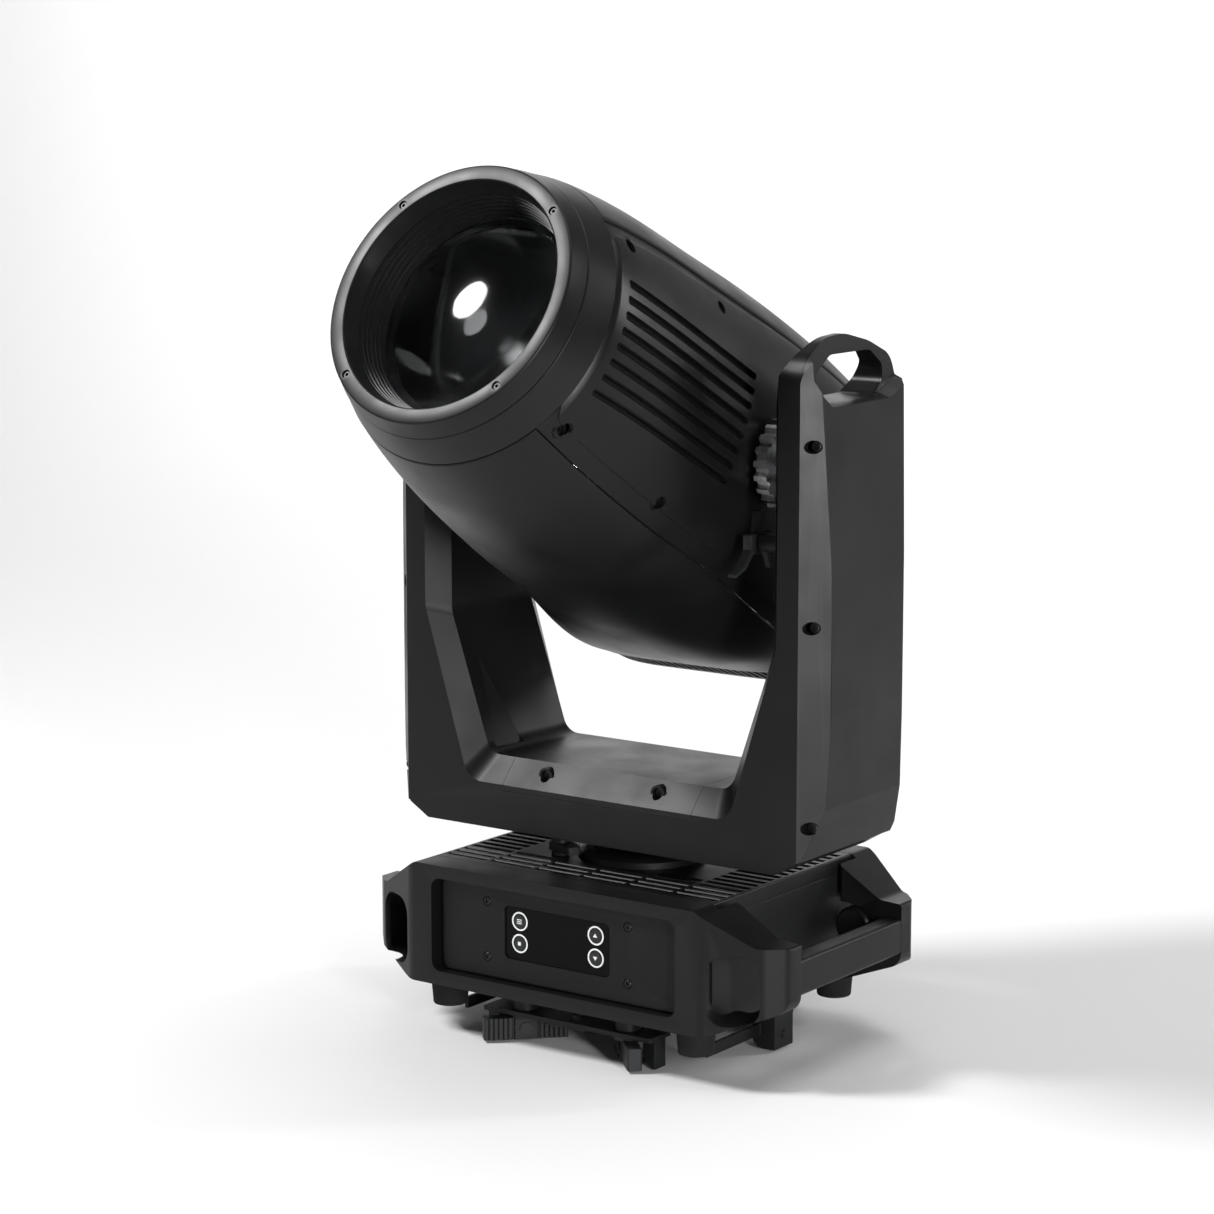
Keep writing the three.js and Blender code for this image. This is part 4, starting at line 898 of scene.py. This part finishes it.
def arm_covers():
    """Outer cover of each arm: a hollow shell with a scoop round the hand hole and three sunk screws."""
    inner = YOKE_SIDE + GAP
    side = [(inner, 140), (inner + 2, 140), (COVER_SIDE - 3, 183), (COVER_SIDE, 260), (COVER_SIDE - 1, 380),
            (COVER_SIDE - 11, 600), (inner, 600)]
    plan = rounded([(inner, FRONT), (COVER_SIDE, FRONT + 20), (COVER_SIDE, BACK - 20), (inner, BACK)],
                   [0, 3, 3, 0], FINE)
    cover = prism("cover", rounded(side, [0, 0, 6, 0, 0, 0, 0], FINE), FRONT, BACK, "y")
    boolean(cover, [prism("plan", plan, 100, 600), prism("arch", ARCH, 190, 230, "x"),
                    prism("taper", REAR_TAPER, -260, 260, "x")], "INTERSECT")
    hollow = [(inner - 5, FRONT + 5), (inner, FRONT + 5), (COVER_SIDE - 8, FRONT + 21),
              (COVER_SIDE - 8, BACK - 21), (inner, BACK - 5), (inner - 5, BACK - 5)]
    scoop = skinned("scoop", [[(inner + 1.5, y, z) for y, z in SCOOP_FLOOR],
                              [(inner + 21.5, y, z) for y, z in SCOOP_LIP]])
    cutters = [prism("hollow", hollow, 196, 491), scoop, prism("hole", HOLE, inner - 5, COVER_SIDE, "x")]
    cutters += [pit((STRIP_SCREW_X, STRIP_PIT_Y, z), (0, -1, 0), 5.4, 0) for z in STRIP_SCREWS]
    boolean(cover, cutters)
    finish_edges(cover, 1.2, 3, limit=24, plate=400)
    twin = mirror_x(cover, "cover_left")
    stand_for(cover, "arm_cover_right")
    stand_for(twin, "arm_cover_left")
    for name, way in (("right", 1), ("left", -1)):
        for k, z in enumerate(STRIP_SCREWS):
            place = (way * STRIP_SCREW_X, STRIP_PIT_Y - 0.05, z)
            screw(f"strip_screw_{name}_{k + 1}", "yoke", place, (0, -1, 0), 4.4, 1.6)


BAR_SCREWS_X = (-57.7, 57.7)
BAR_SCREW_Z = 177


def crossbar_cover():
    """Cover of the crossbar, with bevelled flanks and two sunk screws in its front flank."""
    outside = [(FRONT, 161 + GAP), (FRONT, 166), (FRONT + FLARE, BAR_TOP), (BACK - FLARE, BAR_TOP),
               (BACK, 166), (BACK, 161 + GAP)]
    inside = [(FRONT + 4, 150), (FRONT + 4, 165), (FRONT + FLARE + 1.5, BAR_TOP - 3),
              (BACK - FLARE - 1.5, BAR_TOP - 3), (BACK - 4, 165), (BACK - 4, 150)]
    reach = COVER_SEAM - GAP
    cover = prism("bar", outside, -reach, reach, "x")
    boolean(cover, [prism("inside", inside, -reach - 5, reach + 5, "x")])
    bores = [rod("pit", 5.0, FRONT - 5, -57.0, "y", (x, 0, BAR_SCREW_Z), 40) for x in BAR_SCREWS_X]
    cups = [rod("cup", 7.0, -62, -53, "y", (x, 0, BAR_SCREW_Z), 40) for x in BAR_SCREWS_X]
    boolean(cover, cups, "UNION")
    boolean(cover, bores)
    stand_for(finish_edges(cover, 1.0, 3, limit=24), "crossbar_cover")
    for k, x in enumerate(BAR_SCREWS_X):
        screw(f"crossbar_screw_{k + 1}", "yoke", (x, -57.05, BAR_SCREW_Z), (0, -1, 0), 4.2, 1.6)


def yoke_parts():
    yoke_frame()
    arm_covers()
    crossbar_cover()
    for node in ("tilt_bearing_right", "tilt_bearing_left", "tilt_motor", "tilt_motor_pulley", "tilt_belt",
                 "pan_motor", "pan_motor_pulley"):
        refine(node, 0.4, 2)
    refine("tilt_lock", 1.0, 3)


# ---------- base ----------
HALF_X, HEIGHT, FASCIA_Y, FASCIA_BACK = 143, 105, 134, 106
BAR_OUTER, BAR_INNER, BAR_LOW, BAR_HIGH = 210, 193, 32, 63
PANEL_Y = -FASCIA_Y + 12
PAN_LOCK = (-58, -40)
FACE_OUTLINE = rounded([(-150, 1), (150, 1), (BAR_OUTER, 24), (BAR_OUTER, 76), (189, 77), (HALF_X, HEIGHT),
                        (-HALF_X, HEIGHT), (-189, 77), (-BAR_OUTER, 76), (-BAR_OUTER, 24)],
                       [40, 40, 14, 3, 12, 8, 8, 12, 3, 14], FINE)
PLAN_OUTLINE = rounded([(-148, -FASCIA_Y), (148, -FASCIA_Y), (196, -111), (BAR_OUTER, -96),
                        (BAR_OUTER, -78), (148, -78), (148, -FASCIA_BACK), (-148, -FASCIA_BACK), (-148, -78),
                        (-BAR_OUTER, -78), (-BAR_OUTER, -96), (-196, -111)],
                       [20, 20, 14, 12, 0, 4, 0, 0, 4, 0, 12, 14], FINE)


def fascia_window(way):
    """Cutter for the hand opening at one end of a fascia."""
    turn = Matrix.Translation((way * 172, -120, 0)) @ Matrix.Rotation(math.radians(way * 26), 4, "Z")
    return prism("window", rounded(rectangle(-22, 11, 22, 70), 16, FINE), -60, 60, "y", turn)


def fascia(node):
    """Front or rear fascia with its recess; the rear one has a round boss inside each end."""
    body = prism("fascia", FACE_OUTLINE, -FASCIA_Y - 10, -60, "y")
    boolean(body, [prism("plan", PLAN_OUTLINE, -5, 120)], "INTERSECT")
    recess = rounded(rectangle(-125, 13, 125, 94), 9, FINE)
    pocket = rounded(rectangle(-112, 20, 112, 88), 6, FINE)
    boolean(body, [fascia_window(-1), fascia_window(1),
                   prism("recess", recess, -FASCIA_Y - 5, PANEL_Y, "y"),
                   prism("pocket", pocket, -FASCIA_Y, -FASCIA_BACK + 5, "y")])
    if node == "rear_fascia":
        boss = [(0, -12), (15, -12), (17, -10), (17, 12), (0, 12)]
        places = [Matrix.Translation((way * 165, -84, 51)) @ aim((0, -1, 0)) for way in (-1, 1)]
        boolean(body, [lathe("boss", boss, 72, place) for place in places], "UNION")
        body.data.transform(Matrix.Scale(-1, 4, (0, 1, 0)))
        body.data.flip_normals()
    stand_for(finish_edges(body, 1.3, 3, limit=24), node)


VENT = {"columns": 6, "rows": 17, "first": -92, "pitch": (47, 11.5), "half": (21, 2.6)}
TRAY_TOP = 92
FLANGE_CLEAR = 66  # slots keep this far from the pan axis
LOCK_CLEAR = (30, 14)  # and this far from the pan lock


def tapered(name, half_x, half_y, levels, centre=(0, 0)):
    """Rectangular block through levels of height and growth in its half sizes."""
    rings = []
    for z, d in levels:
        rings.append([(centre[0] + u, centre[1] + v, z)
                      for u, v in rectangle(-half_x - d, -half_y - d, half_x + d, half_y + d)])
    return skinned(name, rings)


def vent_slots(top):
    """Cutters for the vent slots, with chamfered mouths, clear of the pan flange and its lock."""
    half_x, half_y = VENT["half"]
    slots = []
    for i in range(VENT["columns"]):
        x = (i - (VENT["columns"] - 1) / 2) * VENT["pitch"][0]
        for j in range(VENT["rows"]):
            y = VENT["first"] + j * VENT["pitch"][1]
            near_post = math.hypot(max(abs(x) - half_x, 0), y) < FLANGE_CLEAR
            near_lock = abs(x - PAN_LOCK[0]) < LOCK_CLEAR[0] and abs(y - PAN_LOCK[1]) < LOCK_CLEAR[1]
            if not (near_post or near_lock):
                mouth = ((TRAY_TOP - 2, 0), (top - 0.8, 0), (top + 0.4, 1.2))
                slots.append(tapered("slot", half_x, half_y, mouth, (x, y)))
    return slots


def vent_cover():
    """Vented top of the base: a shallow lid with rounded-over edges."""
    top = HEIGHT
    rim = ((TRAY_TOP + GAP, 0), (top - 1, 0), (top - 0.3, -0.3), (top, -1))
    plate = tapered("plate", HALF_X, FASCIA_BACK, rim)
    hollow = tapered("hollow", HALF_X - WALL, FASCIA_BACK - WALL, ((TRAY_TOP - 2, 0), (top - WALL, 0)))
    ring = rod("ring", 56, TRAY_TOP - 2, 110, segments=128)
    boolean(plate, [joined(vent_slots(top), "slots"), hollow, ring])
    stand_for(smooth_only(plate, 20), "base_vent_cover")


def carry_bar(node, way):
    """Bar between the fascias' ends; way is 1 on the right and -1 on the left."""
    section = rounded([(BAR_INNER, BAR_LOW + 3), (BAR_OUTER, BAR_LOW), (BAR_OUTER, BAR_HIGH),
                       (BAR_INNER, BAR_HIGH + 1)], 3.5, FINE)
    bar = prism(node, [(way * x, z) for x, z in section], -78 + GAP, 78 - GAP, "y")
    stand_for(finish_edges(bar, 0.3, 1, limit=40), node)


PANEL_SCREWS = [(x, z) for x in (-72.2, 72.2) for z in (31.5, 79.2)]


def control_panel():
    """Front plate with the display's opening and four sunk screws."""
    plate = prism("panel", rounded(rectangle(-119, 15, 124, 92), 6, FINE), PANEL_Y - 3, PANEL_Y - GAP, "y")
    opening = rounded(rectangle(-54, 33, 54, 79), 5, FINE)
    boolean(plate, [prism("opening", opening, PANEL_Y - 6, PANEL_Y + 3, "y")])
    boolean(plate, [pit((x, PANEL_Y - 1.6, z), (0, -1, 0), 4.3, 0) for x, z in PANEL_SCREWS])
    stand_for(finish_edges(plate, 0.6, 3), "control_panel")
    for k, (x, z) in enumerate(PANEL_SCREWS):
        screw(f"panel_screw_{k + 1}", "base", (x, PANEL_Y - 1.65, z), (0, -1, 0), 3.6, 1.6)


KEYS = ((-39, 66.5), (-39, 47.5), (39, 66.5), (39, 47.5))
KEY_HEIGHT = 2.3
KEY_PROFILE = ((0, -6), (6.2, -6), (6.2, 1.6), (6.0, 2.0), (5.5, 2.25), (4.8, KEY_HEIGHT), (0, KEY_HEIGHT))
KEY_FACE = PANEL_Y - KEY_HEIGHT
GLASS_FACE = PANEL_Y - 1.5


def key_marks():
    """Plain marks for the four keys: bars, a square and two triangles."""
    bars = [rectangle(-2.4, v - 0.35, 2.4, v + 0.35) for v in (-1.6, 0, 1.6)]
    return (bars, [rectangle(-1.5, -1.5, 1.5, 1.5)], [[(-2.2, -1.3), (2.2, -1.3), (0, 2)]],
            [[(-2.2, 1.3), (0, -2), (2.2, 1.3)]])


def facing(name, profile, x, y, z):
    """Turned piece on the front of the base, with its axis along y and its top outward."""
    return lathe(name, profile, 64, Matrix.Translation((x, y, z)) @ aim((0, -1, 0)))


def display():
    """Dark window with four round keys, a pale ring round each and a mark on each."""
    outline = rounded(rectangle(-53.7, 33.3, 53.7, 78.7), 4.7, FINE)
    window = prism("glass", outline, GLASS_FACE, PANEL_Y + 4, "y")
    boolean(window, [rod("hole", 6.6, PANEL_Y - 5, PANEL_Y + 8, "y", (x, 0, z), 64) for x, z in KEYS])
    stand_for(finish_edges(window, 0.3, 2), "display_window")
    profile = [(6.7, -0.02), (8.1, -0.02), (8.1, 0.14), (6.7, 0.14)]
    rings = [facing("ring", profile, x, GLASS_FACE, z) for x, z in KEYS]
    extra(smooth_only(joined(rings, "key_rings")), "base", "key_ring")
    for k, ((x, z), marks) in enumerate(zip(KEYS, key_marks())):
        node = f"menu_key_{k + 1}"
        stand_for(smooth_only(facing("key", KEY_PROFILE, x, PANEL_Y, z)), node)
        parts = [prism("mark", [(x + u, z + v) for u, v in mark], KEY_FACE - 0.1, KEY_FACE + 0.05, "y")
                 for mark in marks]
        extra(joined(parts, f"key_mark_{k + 1}"), BODY_OF[node], "key_ring")


WING = {"half": 36, "thick": 6, "low": -42, "high": -23.3, "ribs": 6}


def wing_knob(end, name, turn, centre):
    """Ribbed wing with a square pad and a round boss in its middle, on a collar and a stem."""
    half, thick, low, high, ribs = (WING[key] for key in ("half", "thick", "low", "high", "ribs"))
    pitch = (half - 11.5) / ribs
    edge = [(9.5, thick + 0.6), (10.5, thick - 1.2)]
    for i in range(ribs):
        x = 11.5 + i * pitch
        edge += [(x, thick - 1.2), (x + 0.5, thick - 0.2), (x + 1.1, thick), (x + pitch - 1.3, thick),
                 (x + pitch - 0.7, thick - 0.2), (x + pitch - 0.2, thick - 1.2)]
    edge.append((half, thick - 1.2))
    top = [(-x, y) for x, y in reversed(edge)] + edge
    outline = top + [(x, -y) for x, y in reversed(top)]
    matrix = Matrix.Translation(centre) @ Matrix.Rotation(turn, 4, "Z")
    middle = (low + high) / 2
    knob = prism("wing", outline, low, high, "z", matrix)
    parts = [rod("boss", 5.5, -thick - 2, thick + 2, "y", (0, 0, middle), 48, matrix),
             rod("collar", 12, high - 0.5, -20 - GAP, "z", (0, 0, 0), 48, matrix),
             rod("stem", 5, high - 1, -GAP - 1, "z", (0, 0, 0), 32, matrix)]
    boolean(knob, parts, "UNION")
    stand_for(finish_edges(knob, 0.5, 2), f"wing_knob_{end}_{name}")


def foot(node):
    """Turned rubber foot, centred on its CAD node."""
    low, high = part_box(node)
    centre = ((low.x + high.x) / 2 / MM, (low.y + high.y) / 2 / MM, 0)
    profile = [(0, -21), (5, -21), (6, -22), (13, -22), (14.2, -21.6), (14.8, -20.6), (15.4, -12),
               (16.3, -2), (16.2, -0.6), (15.6, -GAP), (0, -GAP)]
    pad = lathe(node, profile, 72, Matrix.Translation(centre))
    stand_for(smooth_only(pad, 40), node)


def base_parts():
    fascia("front_fascia")
    fascia("rear_fascia")
    carry_bar("carry_bar_right", 1)
    carry_bar("carry_bar_left", -1)
    control_panel()
    display()
    vent_cover()
    refine("base_chassis", 0.8, 2)
    for node in ("connector_panel", "power_inlet", "power_rocker", "data_socket_in", "data_socket_out"):
        refine(node, 0.4, 2)
    for end, j in (("front", -1), ("rear", 1)):
        refine("bracket_" + end, 0.7, 2)
        for name, i in (("left", -1), ("right", 1)):
            wing_knob(end, name, i * j * math.pi / 4, (i * 53, j * 98, 0))
            foot(f"foot_{end}_{name}")
    for node in ("side_keeper_right", "side_keeper_left", "pan_lock", "pan_post"):
        refine(node, 0.8, 3)


# ---------- stage ----------
CAMERA = Vector((1.6380, -2.3362, 0.8049))
TARGET = Vector((-0.04886, 0.01486, 0.3124))
FLOOR_Z = -0.0443


def stage():
    """Pale floor that curves up into a backdrop behind the object."""
    depth, wide, bend, tall = 3.2, 20.0, 2.0, 5.5
    line = [(-wide, FLOOR_Z), (depth, FLOOR_Z)]
    line += [(depth + bend * math.sin(t), FLOOR_Z + bend * (1 - math.cos(t)))
             for t in (math.pi / 2 * k / 24 for k in range(1, 25))]
    line.append((depth + bend, tall))
    turn = Matrix.Rotation(math.atan2(CAMERA.x, -CAMERA.y), 4, "Z")
    verts = []
    for y, z in line:
        verts += [turn @ Vector((-wide, y, z)), turn @ Vector((wide, y, z))]
    mesh = bpy.data.meshes.new("floor")
    strips = [(2 * k, 2 * k + 1, 2 * k + 3, 2 * k + 2) for k in range(len(line) - 1)]
    mesh.from_pydata([tuple(v) for v in verts], [], strips)
    mesh.shade_smooth()
    floor = bpy.data.objects.new("floor", mesh)
    bpy.context.collection.objects.link(floor)
    mat, shader = new_material("pale_floor", (0.78, 0.78, 0.78), 0.8)
    shader.inputs["Specular IOR Level"].default_value = 0.2
    mesh.materials.append(mat)


def area_light(name, place, target, size, power):
    """Soft elliptical light aimed at a target."""
    light = bpy.data.lights.new(name, "AREA")
    light.shape = "ELLIPSE"
    light.size, light.size_y = size
    light.energy = power
    obj = bpy.data.objects.new(name, light)
    bpy.context.collection.objects.link(obj)
    obj.location = place
    obj.rotation_euler = (Vector(target) - Vector(place)).to_track_quat("-Z", "Y").to_euler()


def lights():
    """Dim white surroundings and five soft lights."""
    world = bpy.data.worlds.new("studio")
    bpy.context.scene.world = world
    world.use_nodes = True
    background = world.node_tree.nodes["Background"]
    background.inputs["Color"].default_value = (1, 1, 1, 1)
    background.inputs["Strength"].default_value = 0.04
    area_light("overhead", (0.6, 0.6, 3.8), (0, 0.4, 0), (3.0, 3.0), 62)
    area_light("key", (-1.7, -1.5, 2.5), (0, 0, 0.45), (0.8, 0.8), 100)
    area_light("front_right", (2.7, -1.75, 0.55), (0, 0, 0.35), (0.35, 1.5), 85)
    area_light("side", (2.4, 2.6, 1.5), (0, 0, 0.4), (0.35, 1.6), 40)
    area_light("back_wash", (-2.2, 2.4, 3.2), (-1.5, 5.0, 1.0), (3.0, 1.5), 110)


def camera():
    data = bpy.data.cameras.new("camera")
    data.lens = 101.7
    data.sensor_width = 36
    data.clip_end = 30
    obj = bpy.data.objects.new("camera", data)
    bpy.context.collection.objects.link(obj)
    obj.location = CAMERA
    obj.rotation_euler = (TARGET - CAMERA).to_track_quat("-Z", "Y").to_euler()
    bpy.context.scene.camera = obj


head_covers()
bezel()
barrel()
lens_holder()
front_lens()
rear_grille()
lock_disc()
head_inside()
yoke_parts()
base_parts()
for leftover, node_object in NODES.items():
    if not node_object.hide_render:
        dress(node_object, SLOT_OF[leftover])
stage()
lights()
camera()
bpy.context.scene.view_settings.view_transform = "Standard"
